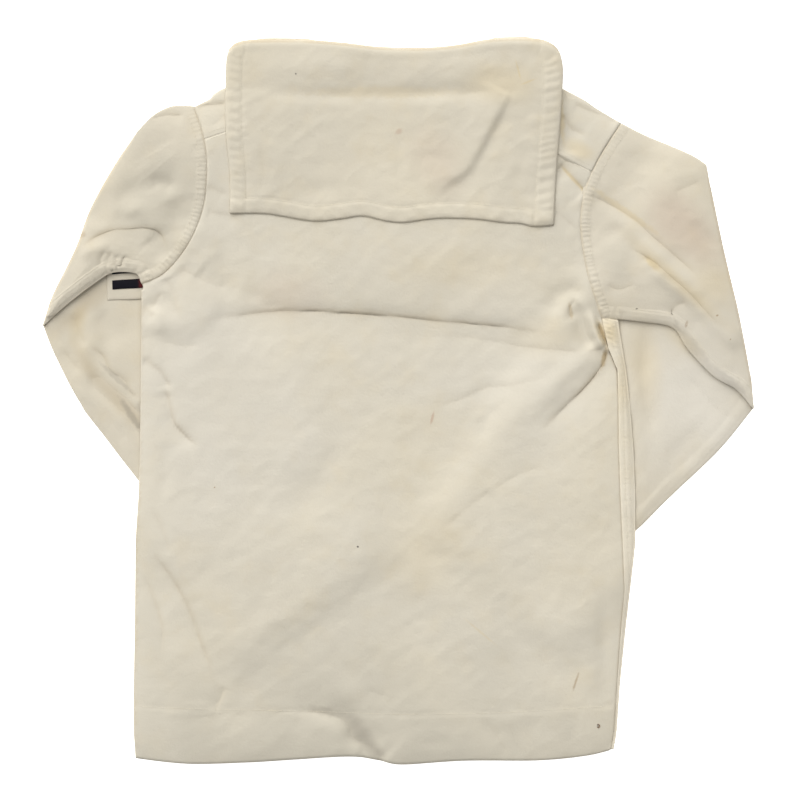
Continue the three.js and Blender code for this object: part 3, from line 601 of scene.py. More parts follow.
def held(rows, columns):
    """0 along the sides of a grid, 1 inside."""
    u, v = np.linspace(0, 1, columns), np.linspace(0, 1, rows)
    side = smooth(np.minimum(u, 1 - u) / HOLD)
    end = smooth(np.minimum(v, 1 - v) / HOLD)
    return np.outer(end, side)


def swells(x, y):
    """The slack of the upper cloth: broad swells, and finer crossing wrinkles."""
    turned = 0.8 * x + 0.6 * y, 0.8 * y - 0.6 * x
    broad = 1.7 * rumple(x, y, 118, 3) + 1.1 * rumple(*turned, 52, 4)
    ridge = (1 - np.abs(rumple(turned[0], turned[1] * 1.9, 30, 5))) ** 3
    small = 0.32 * ridge - 0.1 + 0.24 * rumple(x, y * 1.4, 13, 6) + 0.09 * rumple(x, y, 6.5, 7)
    return broad + small


ARMHOLES = [curve(ARMHOLE_LEFT, 60), curve(ARMHOLE_RIGHT, 60)]


DIP_LEFT, DIP_RIGHT, DIP_FOOT, DIP_EDGE = -172, 162, 194, 26  # where the collar's flap lies
DIP = 2.2  # and presses the cloth under it down
GROOVE, GROOVE_REACH = 0.45, 1.4  # along each armhole's seam
TAUT, TAUT_REACH = 0.25, 40  # share of the slack that is left at the piece's edges


def under_flap(x, y):
    """1 well under the collar's flap, 0 beside it."""
    return smooth(np.minimum(np.minimum(x - DIP_LEFT, DIP_RIGHT - x), y - DIP_FOOT) / DIP_EDGE)


def upper_middle(x, y):
    """Middle of the upper layer, before creases: the slack, the groove along each armhole, and the
    dip under the collar."""
    slack = TAUT + (1 - TAUT) * smooth(inset(x, y) / TAUT_REACH)
    height = under_back(x, y) + CLOTH / 2 + swells(x, y) * slack - DIP * under_flap(x, y)
    for line in ARMHOLES:
        height = height - GROOVE * np.exp(-(distance(line, x, y) / GROOVE_REACH) ** 2)
    return np.maximum(height, support(x, y) + 1.5 * CLOTH + 0.1)


STRIP_COLUMNS = 15
STRIP_FALL = 1.7  # the strip rounds down this far towards the fold
STRIP_PITCH, GUSSET_PITCH = 5.2, 6.4  # of their gathers
GUSSET_FOOT = 50  # above this the strip is gathered by the underarm seam
STRIP_ROWS = (5.8, 11.0)  # the felled seam's two rows of stitches, from the seam


def puckers(along, pitch, seed):
    """The uneven gathers beside a row of stitches, from 0 to about 1."""
    drift = 0.9 * rumple(along, along * 0, 4 * pitch, seed)
    size = 0.7 + 0.3 * rumple(along, along * 0, 3 * pitch, seed + 1)
    return size * np.abs(np.cos(math.pi * (along / pitch + drift))) ** 1.3


def strip_lift(off, along):
    """Height of the front's strip: thick over the felled seam, drawn in at its two rows."""
    band = 0.20 * smooth(off / 1.2) - 0.40 * np.exp(-(off / 0.8) ** 2)
    for number, row in enumerate(STRIP_ROWS):
        band = band - 0.28 * np.exp(-((off - row) / 0.9) ** 2)
        near_row = np.exp(-((off - row) / 3.2) ** 2)
        band = band + 0.34 * puckers(along, STRIP_PITCH, 30 + number) * near_row
    gusset = smooth((along - GUSSET_FOOT) / 14) * np.exp(-((off - 6) / 7) ** 2)
    return band + gusset * (1.3 * puckers(along + 0.5 * off, GUSSET_PITCH, 34) - 0.4)


def build_front():
    """Two halves that meet below the neck's V, and the strip round the right fold."""
    hem = curve(HEM, 200)
    middle = np.array([[V_FOOT[0], np.interp(V_FOOT[0], hem[:, 0], hem[:, 1])], V_FOOT], float)
    left = joined(edge_line(left_edge, HEM_LEFT, ARMPIT_LEFT - 4, SIDE_TURN + 0.3),
                  curve(ARMHOLE_LEFT))
    inner = -ROUND - DRILL / 2
    right = joined(edge_line(right_edge, HEM_RIGHT, ARMPIT_RIGHT - 2, inner), curve(ARMHOLE_RIGHT))
    halves = []
    rows = shares(BODY_TALL, ROWS_APART)
    for is_left in (True, False):
        side, shoulder = (left, SHOULDERS[0]) if is_left else (right, SHOULDERS[1])
        neck = joined(middle, np.array([V_FOOT, shoulder[-1]], float))
        edge_x = side[0, 0]
        foot = hem[(hem[:, 0] > min(edge_x, V_FOOT[0])) & (hem[:, 0] < max(edge_x, V_FOOT[0]))]
        ends = (side[:1], middle[:1]) if is_left else (middle[:1], side[:1])
        bottom = joined(ends[0], foot, ends[1])
        west, east = (side, neck) if is_left else (neck, side)
        top = shoulder if is_left else shoulder[::-1]
        plan = patch(bottom, top, west, east, shares(HALF_WIDE, COLUMNS_APART), rows)
        grid = with_height(plan, front_middle)
        grid[..., 2] += creased(FRONT_CREASES, plan[..., 0], plan[..., 1])[0]
        halves.append(grid)

    seam_rows = halves[1][halves[1][:, -1, 1] < ARMPIT_RIGHT - 1][:, -1]
    y = seam_rows[:, 1]
    centre = seam_rows[:, 0]
    low = seam_rows[:, 2]
    high = under_back(centre, y) + CLOTH / 2 - STRIP_FALL
    section = [np.stack([centre, y, low], axis=1), *fold_round(centre, y, low, high, 1)]
    for share in np.linspace(0, 1, STRIP_COLUMNS):
        x = centre + (side_seam(y) + 0.3 - centre) * share
        lift = strip_lift(x - side_seam(y), y) * smooth(share * 4)
        lift = lift - STRIP_FALL * np.exp(-(centre - x) / 3.5)
        section.append(np.stack([x, y, upper_middle(x, y) + lift], axis=1))
    strip = np.stack(section, axis=1)
    return sewn("front_cloth", [halves[0], halves[1], strip])


SEAM_SPOTS = [Spot(222, 70, 42, 26, 110, 0.55, YELLOW), Spot(236, 20, 90, 20, 88, 0.30, YELLOW)]
LINEN_WHITE = (0.750, 0.690, 0.570, 1)
front = build_front()
dress(front, drill("drill of the front", LINEN_WHITE, SEAM_SPOTS), "front")

# Back
# The back is the large upper piece of the same drill, cut with its two armholes and a straight top
# that the yoke is felled to. It turns under the left edge, and its deep hem is sewn with one row.
BREAST_TUCK = [(-225, 80), (-176, 86), (-131, 91), (-94, 92), (-47, 89), (0, 86), (28, 83),
               (79, 78), (124, 74), (150, 69), (176, 64), (190, 62)]
ARMPIT_TUCK = [(146, -38), (159, -25), (180, -4), (191, 6), (204, 20), (215, 34), (219.5, 43),
               (219, 53)]
BACK_CREASES = [
    Crease(-3.9, 8, 45, 1.4, BREAST_TUCK, 0.25),
    Crease(-2.2, 12, 26, 0.4,
           [(-15, 63), (37, 67), (93, 62), (131, 55), (187, 50), (217, 53)], 0.50, 0.03),
    Crease(-4.2, 5.5, 18, 1.6, ARMPIT_TUCK, 0.35, 0.05),
    Crease(2.4, 13, 9, 0, [(128, -24), (148, -2), (170, 20), (192, 40), (206, 54)], 0.30, 0.15),
    Crease(5.2, 6, 3.5, 0, [(216, 53), (209, 68), (204, 83), (199, 96)], 0.12),
    Crease(-5.0, 3.0, 2.5, 0, [(220, 54), (214, 66), (209, 80)], 0.12, 0.15),
    Crease(-5.6, 10, 6, 0, [(206, 54), (197, 66), (191, 84), (187, 102)], 0.20),
    Crease(-3.6, 10, 11, 0, [(158, 84), (165, 102), (181, 113), (200, 112)]),
    Crease(1.2, 6, 7, 0, [(173, 80), (174, 94), (183, 104), (194, 104)]),
    Crease(-2.9, 5, 8, 0.5, [(184, 83), (180, 91), (182, 99), (189, 106)], 0.25),
    Crease(-0.8, 4, 9, 0.3, [(36, -8), (62, -2), (93, 12), (124, 15), (161, 27)], 0.25, 0.25),
    Crease(-1.0, 8, 7, 0, [(84, -46), (92, -25), (102, -1)]),
    Crease(-0.8, 5, 12, 0.2, [(98, -94), (131, -77), (160, -68)], 0.20),
    Crease(-0.9, 6, 12, 0.2, [(38, -144), (62, -123), (98, -94)], 0.30, 0.10),
    Crease(-0.7, 6, 6, 0, [(98, -94), (100, -116), (102, -140)], 0.20, 0.40),
    Crease(-0.4, 6, 8, 0, [(110, -147), (112, -200), (110, -245)]),
    Crease(-2.0, 24, 17, 0, [(-117, -140), (-84, -84), (-47, -34)], 0.35, 0.35),
    Crease(-0.4, 5, 9, 0, [(-197, -156), (-166, -126), (-135, -99)]),
    Crease(-2.3, 8, 9, 0.6, [(-269, 97), (-262, 92), (-254, 84)], 0.10),
    Crease(-2.2, 8, 10, 0.5, [(-258, 93), (-252, 104), (-245, 114)], 0.25),
    Crease(1.2, 10, 10, 0, [(-266, 106), (-255, 112), (-240, 108)], 0.20),
    Crease(-1.5, 8, 12, 0.3, [(-244, 128), (-236, 112), (-232, 94), (-226, 76)], 0.10, 0.35),
    Crease(-1.6, 8, 12, 0.3, [(-232, 140), (-212, 128), (-186, 118), (-160, 116)], 0.15, 0.40),
    Crease(1.8, 7, 8, 0, [(-258, 98), (-251, 84), (-247, 66)], 0.20),
    Crease(-1.2, 6, 9, 0.2, [(-250, 62), (-226, 56), (-200, 58)], 0.25, 0.35),
    Crease(-2.5, 5, 12, 1.2, [(-268, 44), (-258, 35), (-249, 28), (-238, 9)], 0.12, 0.20),
    Crease(-2.8, 5, 12, 1.3,
           [(-245, 12), (-240, -7), (-235, -26), (-219, -43), (-206, -52)], 0.12, 0.25),
    Crease(-1.4, 8, 8, 0, [(-246, -42), (-243, -72), (-248, -106)], 0.35, 0.35),
    Crease(-0.9, 6, 12, 0.3, [(-259, -109), (-244, -146), (-238, -169)]),
    Crease(-2.3, 6, 13, 0.9,
           [(-262, -157), (-243, -180), (-222, -216), (-210, -249), (-196, -288), (-194, -311)],
            0.15),
    Crease(-1.8, 6, 10, 0.6, [(-268, -180), (-256, -213), (-248, -242), (-249, -276)], 0.20),
    Crease(-1.8, 5, 9, 0.7, [(-182, -300), (-187, -314), (-194, -327)], 0.20, 0.20),
    Crease(-0.9, 9, 12, 0, [(-129, -232), (-120, -249), (-108, -265)], 0.35, 0.35),
    Crease(-0.8, 8, 11, 0, [(-158, -237), (-148, -251), (-136, -265)], 0.35, 0.35),
    Crease(-0.9, 9, 12, 0, [(-71, -257), (-62, -276), (-49, -297)], 0.35, 0.35),
    Crease(-0.9, 6, 9, 0.2, [(-36, -301), (-23, -308), (-9, -311)]),
    Crease(-1.4, 9, 14, 0.3,
           [(-230, -339), (-187, -330), (-146, -330), (-123, -329), (-95, -327)], 0.20),
    Crease(-4.6, 13, 7, 1.3,
           [(-112, -327), (-83, -330), (-63, -335), (-53, -344), (-48, -356), (-30, -365),
            (-13, -380)], 0.25, 0.05),
    Crease(2.2, 6, 18, 0,
           [(-112, -333), (-83, -337), (-68, -342), (-60, -350), (-54, -361), (-36, -371)], 0.30,
            0.10),
    Crease(-2.4, 12, 8, 0, [(-78, -322), (-50, -331), (-36, -347), (-16, -366)], 0.30, 0.15),
    Crease(-1.0, 7, 10, 0.3, [(86, -329), (101, -350), (116, -375)], 0.30, 0.15),
    Crease(-0.9, 6, 9, 0.3, [(112, -335), (122, -354), (130, -375)], 0.30, 0.15),
    Crease(-0.8, 7, 9, 0, [(184, -327), (183, -348), (187, -370)], 0.30, 0.20),
    Crease(-1.5, 10, 9, 0, [(214, -180), (216, -250), (214, -336)], 0.25, 0.25),
    Crease(-1.4, 9, 9, 0, [(-210, 138), (-200, 130), (-188, 121)], 0.35, 0.35),
    Crease(-1.8, 10, 8, 0, [(-165, 118), (-137, 102), (-132, 93)], 0.35, 0.10),
    Crease(-0.8, 8, 7, 0, [(-88, 117), (-70, 110), (-50, 105)], 0.35, 0.35),
    Crease(-1.2, 5, 10, 0.4, [(-201, 222), (-190, 219), (-178, 212)], 0.10, 0.35),
    Crease(-1.0, 6, 10, 0.3, [(-201, 196), (-182, 193), (-163, 186)], 0.10, 0.35),
    Crease(-3.2, 5, 12, 1.4, [(168, 247), (182, 232), (198, 215)], 0.10, 0.15),
    Crease(-2.4, 13, 6, 0, [(177, 290), (174, 255), (171, 225)], 0.10),
    Crease(-0.8, 5, 9, 0.2, [(161, 199), (174, 189), (189, 176)], 0.15),
]
YOKE_SEAM = [(-203, 273.5), (-103, 302), (2, 309), (107, 285), (204, 239)]
BACK_TALL = 664
BACK_COLUMNS = [(0.91, 151), (0.99, 28), (1, 7)]  # closer where the tucks end at the side seam
HEM_PITCH, HEM_ROUND = 9, 11  # the hem row's gathers, and the reach of the hem's rounded foot
HEM_ROW = [(-276, -322), (-186, -325), (-94, -327), (0, -330), (86, -329), (150, -326), (230, -321)]


def back_hem(x, y):
    """The deep hem: a second ply, the row that holds it, and the gathers beside that row."""
    _, off, _, _ = beside(curve(HEM_ROW, 40), x, y)
    band = 0.30 * smooth(-off / 2) - 0.40 * np.exp(-(off / 1.3) ** 2)
    gather = 0.40 * puckers(x + 0.4 * off, HEM_PITCH, 40) * np.exp(-((off + 3) / 9) ** 2)
    end = distance(curve(HEM, 60), x, y)
    return band + gather - 2.6 * np.exp(-end / HEM_ROUND)


def build_back():
    """The back with its folds, and the turn under its left edge."""
    centre = ROUND + DRILL / 2
    left = joined(edge_line(left_edge, HEM_LEFT, ARMPIT_LEFT, centre), ARMHOLES[0])
    left = left[left[:, 1] <= YOKE_SEAM[0][1]]
    right = joined(edge_line(side_seam, HEM_RIGHT, ARMPIT_RIGHT), ARMHOLES[1])
    right = right[right[:, 1] <= YOKE_SEAM[-1][1]]
    hem = curve(HEM, 200)
    hem = hem[(hem[:, 0] > left[0, 0]) & (hem[:, 0] < right[0, 0])]
    bottom = joined(left[:1], hem, right[:1])
    top = joined(left[-1:], curve(YOKE_SEAM, 120)[1:-1], right[-1:])
    plan = patch(bottom, top, evenly(left, 240), evenly(right, 240), graded(*BACK_COLUMNS),
                 shares(BACK_TALL))
    hold = held(*plan.shape[:2])
    plan = drawn(BACK_CREASES, plan, hold)
    x, y = plan[..., 0], plan[..., 1]
    height, darkening = creased(BACK_CREASES, x, y)
    seam_gap = distance(edge_line(side_seam, FOOT, ARMPIT_RIGHT), x, y)
    yoke_gap = distance(curve(YOKE_SEAM, 60), x, y)
    z = (upper_middle(x, y) + height + back_hem(x, y) - 0.4 * np.exp(-(seam_gap / 0.8) ** 2)
         - 0.3 * np.exp(-(yoke_gap / 1.5) ** 2))
    darkening = np.maximum(darkening, 0.8 * np.exp(-(seam_gap / 1.3) ** 2))
    z = np.maximum(z, support(x, y) + 1.5 * CLOTH)
    grid = overhung(BACK_CREASES, np.dstack([plan, z]), hold)

    edge = grid[grid[:, 0, 1] < ARMPIT_LEFT - 4][:, 0]
    x, y, high = edge.T
    low = front_middle(x, y)
    section = [edge, *reversed(list(fold_round(x, y, low, high, -1)))]
    for share in np.linspace(0, 1, 5):
        under = x + (left_edge(y) + SIDE_TURN - x) * share
        section.append(np.stack([under, y, front_middle(under, y)], axis=1))
    turn = np.stack(section[::-1], axis=1)
    # Half the brown on the turn under the left edge: painted shade where the edge rolls under.
    dirt_and_shade = [darkening, np.full(turn.shape[:2], 0.5)]
    return sewn("back_cloth", [grid, turn], dirt_and_shade=dirt_and_shade)


# Some of these spots are painted shade: the grey ones at (-200, -300), (-25, -400) and (-30, -290)
# darken the back towards the hem; the grey and shade spots from (-52, -345) to (-22, -372) are the
# shade of the hem's fold; the grey spot at (190, 86) and the brown ones at (216, 44), (214, 70) and
# (181, 93) are the shade in the armpit's folds; and the dark spot at (209.6, -342.3) is the shade in
# the eyelet's hole.
BACK_SPOTS = [
    Spot(-190, 20, 260, 360, 10, 0.55, PALE), Spot(130, 0, 200, 260, 20, 0.30, PALE),
    Spot(214, 68, 40, 14, 112, 0.50, YELLOW), Spot(160, 70, 110, 50, 10, 0.16, YELLOW),
    Spot(209.6, -342.3, 2.6, 2.6, 0, 1.0, DARK), Spot(186, -297, 24, 3.4, 72, 0.55, BROWN),
    Spot(36, -19, 17, 3.5, 76, 0.45, RUST), Spot(88, -245, 52, 3.0, -40, 0.32, YELLOW),
    Spot(-42, -154, 2.8, 2.8, 0, 0.9, DARK),
    Spot(-192, -92, 2.2, 2.2, 0, 0.8, BROWN), Spot(30, -160, 120, 90, 40, 0.16, YELLOW),
    Spot(-120, 110, 90, 60, 0, 0.12, RUST), Spot(184, 231, 44, 5, -48, 0.55, YELLOW),
    Spot(60, 140, 150, 50, 0, 0.14, YELLOW), Spot(-200, -300, 120, 70, 20, 0.20, GREY),
    Spot(-25, -400, 760, 260, 0, 1.0, GREY), Spot(-180, 0, 130, 110, 0, 0.18, GREY),
    Spot(-30, -290, 420, 150, 0, 0.35, GREY), Spot(-52, -345, 80, 26, -35, 0.35, GREY),
    Spot(-72, -328, 60, 11, -12, 0.30, SHADE), Spot(-40, -349, 62, 24, -54, 0.58, SHADE),
    Spot(-22, -372, 34, 19, -50, 0.45, SHADE), Spot(190, 86, 60, 46, 60, 0.50, GREY),
    Spot(216, 44, 26, 7, 78, 0.75, DIRT_AND_SHADE_BROWN),
    Spot(214, 70, 26, 6, 112, 0.70, DIRT_AND_SHADE_BROWN), Spot(181, 93, 22, 5, 100, 0.45, DIRT_AND_SHADE_BROWN),
]
BACK_WHITE = (0.610, 0.565, 0.468, 1)
back = build_back()
dress(back, drill("drill of the back", BACK_WHITE, BACK_SPOTS), "back")

# Yoke
# The yoke is a shallow piece across the shoulders, felled to the back below and joined to the front
# at the shoulders. The collar covers all but its two ends.
YOKE_CREASES = [
    Crease(-1.4, 3, 8, 0.8, [(-213, 306), (-198, 309), (-180, 310)], 0.10, 0.10),
    Crease(-1.4, 4, 8, 0.6, [(184, 310), (206, 301), (219, 297), (230, 289)], 0.10, 0.10),
    Crease(-1.5, 6, 10, 0.6, [(170, 300), (182, 284), (201, 275)], 0.15),
    Crease(-2.6, 14, 6, 0, [(178, 338), (178, 300), (175, 255)], 0.10, 0.10),
    Crease(-1.0, 6, 9, 0.3, [(-181, 300), (-190, 290), (-199, 285)], 0.15),
]
TUCKED = 2.0  # how far a felled piece runs on under its neighbour
TUCK_DROP = 1.5
YOKE_WIDE = 430
YOKE_ROWS = [(0.08, 6), (1, 25)]


def build_yoke():
    """The yoke, whose lower edge runs on under the back's seam."""
    seam = curve(YOKE_SEAM, 120)
    left = ARMHOLES[0][ARMHOLES[0][:, 1] >= YOKE_SEAM[0][1]]
    right = ARMHOLES[1][ARMHOLES[1][:, 1] >= YOKE_SEAM[-1][1]]
    bottom = joined(seam, count=160) - [0, TUCKED]
    left = joined(bottom[:1], left)
    right = joined(bottom[-1:], right)
    neck = curve([(-80, 366), (2, 349), (86, 366)], 60)
    top = joined(SHOULDERS[0], neck, SHOULDERS[1][::-1])
    plan = patch(bottom, top, left, right, shares(YOKE_WIDE, 2.4), graded(*YOKE_ROWS))
    hold = held(*plan.shape[:2])
    plan = drawn(YOKE_CREASES, plan, hold)
    x, y = plan[..., 0], plan[..., 1]
    height, darkening = creased(YOKE_CREASES, x, y)
    past = beside(seam, x, y)[1]
    seam_lift = -TUCK_DROP * smooth((0.3 - past) / 1.3) + 0.25 * np.exp(-((past - 5) / 4) ** 2)
    rim = np.minimum(distance(SHOULDERS[0], x, y), distance(SHOULDERS[1], x, y))
    z = upper_middle(x, y) + height + seam_lift - 0.5 * np.exp(-(rim / 1.2) ** 2)
    return sewn("yoke_cloth", [np.dstack([plan, z])], dirt_and_shade=[darkening])


# The spot at (171, 296) is partly a stain and partly painted shadow beside the collar's right edge.
YOKE_SPOTS = [Spot(171, 296, 64, 9, 95, 0.5, YELLOW), Spot(190, 262, 40, 20, -30, 0.35, YELLOW)]
yoke = build_yoke()
dress(yoke, drill("drill of the yoke", BACK_WHITE, YOKE_SPOTS, 0.6), "yoke")

# Sleeves
# Each sleeve is one width of drill, felled into a tube along the underarm and set into the armhole
# with a second felled seam. It lies flat and is folded at the elbow, so that the forearm runs back
# under the body with its upper wall showing outside it.
BAND = 10.0  # width of the felled seam round the armhole, on the sleeve
UNDERARM_BAND = 11.0
TURNED = 3.9  # the elbow fold's reach
TURNED_END = 0.8  # and at its two ends
RIM = 0.006  # share of the width by which the two long edges are rounded
ARM_COLUMNS = [(0.13, 15), (1, 45)]  # closer by the armhole, for its gathers
FOREARM_COLUMNS = [(0.42, 41), (1, 17)]
BACK_ROWS, FRONT_ROWS = 190, 92
ARMHOLE_PITCH, BROAD_PITCH = 4.8, 9.5  # fine and broad gathers of a felled band
ARMHOLE_LONG, LOWER_LONG, UNDERARM_LONG = 215, 130, 290  # the seams' rough lengths
LEFT_ARM_CREASES = [
    Crease(-3.4, 9, 15, 1.6,
           [(-333, 152), (-321, 166), (-299, 176), (-283, 177), (-263, 178), (-250, 173),
            (-245, 161), (-242, 147)], 0.30, 0.25),
    Crease(-3.2, 15, 13, 0, [(-302, 209), (-274, 219), (-247, 226), (-222, 220)]),
    Crease(-2.0, 8, 8, 0, [(-262, 228), (-248, 228), (-232, 222)]),
    Crease(2.6, 13, 11, 0, [(-292, 202), (-270, 200), (-258, 186), (-250, 168)], 0.30, 0.35),
    Crease(-2.2, 12, 10, 0, [(-238, 214), (-232, 190), (-233, 164)]),
    Crease(-1.6, 4, 7, 0.6, [(-262, 293), (-243, 297), (-223, 297)], 0.25, 0.20),
    Crease(-2.6, 9, 8, 0, [(-264, 170), (-254, 158), (-246, 144)]),
    Crease(1.6, 7, 6, 0, [(-334, 148), (-318, 158), (-300, 162)]),
    Crease(-1.7, 2.6, 3, 0.4, [(-311, 138), (-311, 147), (-307, 156)], 0.25, 0.20),
    Crease(-1.7, 2.6, 3, 0.4, [(-304, 138), (-303, 147), (-300, 155)], 0.25, 0.20),
    Crease(-1.6, 2.6, 3, 0.4, [(-297, 138), (-295, 146), (-293, 153)], 0.25, 0.20),
    Crease(-1.4, 2.6, 3, 0.3, [(-290, 138), (-288, 145), (-286, 151)], 0.25, 0.20),
    Crease(-1.4, 9, 16, 0, [(-226, 282), (-258, 262), (-288, 232)]),
    Crease(-1.4, 8, 14, 0, [(-326, 184), (-312, 200), (-300, 226)]),
]
LEFT_FOREARM_CREASES = [
    Crease(-4.6, 9, 14, 1.6,
           [(-329, 28), (-308, 11), (-292, -2), (-278, -14), (-266, -36)], 0.25, 0.05),
    Crease(-2.9, 6, 12, 0.9,
           [(-327, 56), (-311, 46), (-303, 30), (-287, 19), (-282, 7), (-269, 1)], 0.25, 0.15),
    Crease(-1.5, 7, 9, 0.4, [(-353, 54), (-343, 39), (-333, 26)]),
    Crease(1.8, 8, 9, 0, [(-338, 20), (-318, 1), (-301, -13), (-288, -28), (-277, -50)], 0.25, 0.10),
    Crease(1.5, 7, 7, 0, [(-318, 38), (-298, 21), (-284, 8), (-268, -8)], 0.25, 0.10),
    Crease(-1.2, 7, 10, 0.2, [(-322, -24), (-306, -48), (-290, -68)]),
    Crease(-2.4, 9, 9, 0.3, [(-342, 92), (-336, 74), (-328, 52)], 0.25),
    Crease(-1.6, 8, 10, 0, [(-312, 98), (-306, 74), (-296, 50)]),
    Crease(1.4, 8, 8, 0, [(-326, 96), (-320, 76), (-313, 56)]),
    Crease(-0.9, 8, 12, 0, [(-322, 92), (-300, 76), (-268, 70)], 0.30, 0.20),
]
RIGHT_ARM_CREASES = [
    Crease(-2.4, 6, 8, 0.5,
           [(198, 216), (229, 200), (251, 185), (263, 173), (280, 158), (307, 134), (319, 119)],
            0.10, 0.25),
    Crease(3.4, 26, 8, 0,
           [(238, 160), (263, 144), (273, 132), (292, 117), (307, 105), (322, 90), (340, 71),
            (360, 50)], 0.20, 0.12),
    Crease(-3.0, 10, 13, 0, [(211, 168), (229, 174), (245, 161), (264, 136)], 0.25, 0.25),
    Crease(-2.2, 5, 7, 0.8, [(254, 150), (263, 143), (271, 131)]),
    Crease(-2.0, 6, 12, 0.7,
           [(238, 162), (252, 153), (268, 143), (286, 127), (305, 110), (323, 90), (338, 72)], 0.20,
            0.15),
    Crease(-0.8, 9, 12, 0, [(252, 264), (260, 227), (272, 190)], 0.25),
    Crease(-0.8, 5, 7, 0.2, [(285, 216), (300, 221), (317, 229)], 0.30, 0.20),
    Crease(-0.7, 6, 8, 0, [(307, 188), (322, 172), (338, 156)]),
    Crease(-1.3, 5, 6, 0.5, [(217, 122), (228, 115), (240, 117), (250, 123)], 0.25, 0.25),
    Crease(-1.6, 7, 7, 0.5, [(284, 86), (292, 98), (305, 102)], 0.25, 0.25),
    Crease(-1.0, 5, 6, 0, [(212, 100), (226, 92), (246, 88)], 0.25, 0.25),
    Crease(-0.9, 9, 14, 0, [(232, 262), (264, 250), (300, 240)]),
    Crease(-0.9, 5, 9, 0.2, [(206, 271), (214, 270), (224, 269)], 0.15, 0.40),
]
RIGHT_FOREARM_CREASES = [
    Crease(2.3, 15, 3, 0, [(233, 84), (237, 54), (244, 0), (249.5, -80), (250.5, -150)], 0.10, 0.15),
    Crease(-1.6, 9, 8, 0, [(262, 84), (258, 20), (262, -40), (260, -95)], 0.15),
    Crease(-1.2, 9, 14, 0.4, [(300, 34), (318, 8), (340, -14), (362, -22)], 0.30, 0.20),
    Crease(-0.9, 10, 14, 0, [(276, -94), (298, -50), (330, -22)]),
]


def band_lift(off, along, width, seed):
    """A felled band beside a seam, off from it: drawn in at both rows and gathered between them."""
    inside = smooth(off / 1.5) * smooth((width + 1 - off) / 1.6)
    gathers = (puckers(along, ARMHOLE_PITCH, seed) * 0.75
               + 0.25 * puckers(along + off * 0.7, BROAD_PITCH, seed + 2))
    rows = sum(np.exp(-((off - row) / 1.0) ** 2) for row in (1.6, width - 1.0))
    return inside * (0.45 + 0.9 * gathers) - 0.45 * rows


def moved(line, distance_left):
    """A line moved to its left, by one distance or by one for each of its places."""
    ahead = np.gradient(line, axis=0)
    ahead /= np.linalg.norm(ahead, axis=1)[:, None]
    return line + np.stack([-ahead[:, 1], ahead[:, 0]], axis=1) * np.reshape(distance_left, (-1, 1))


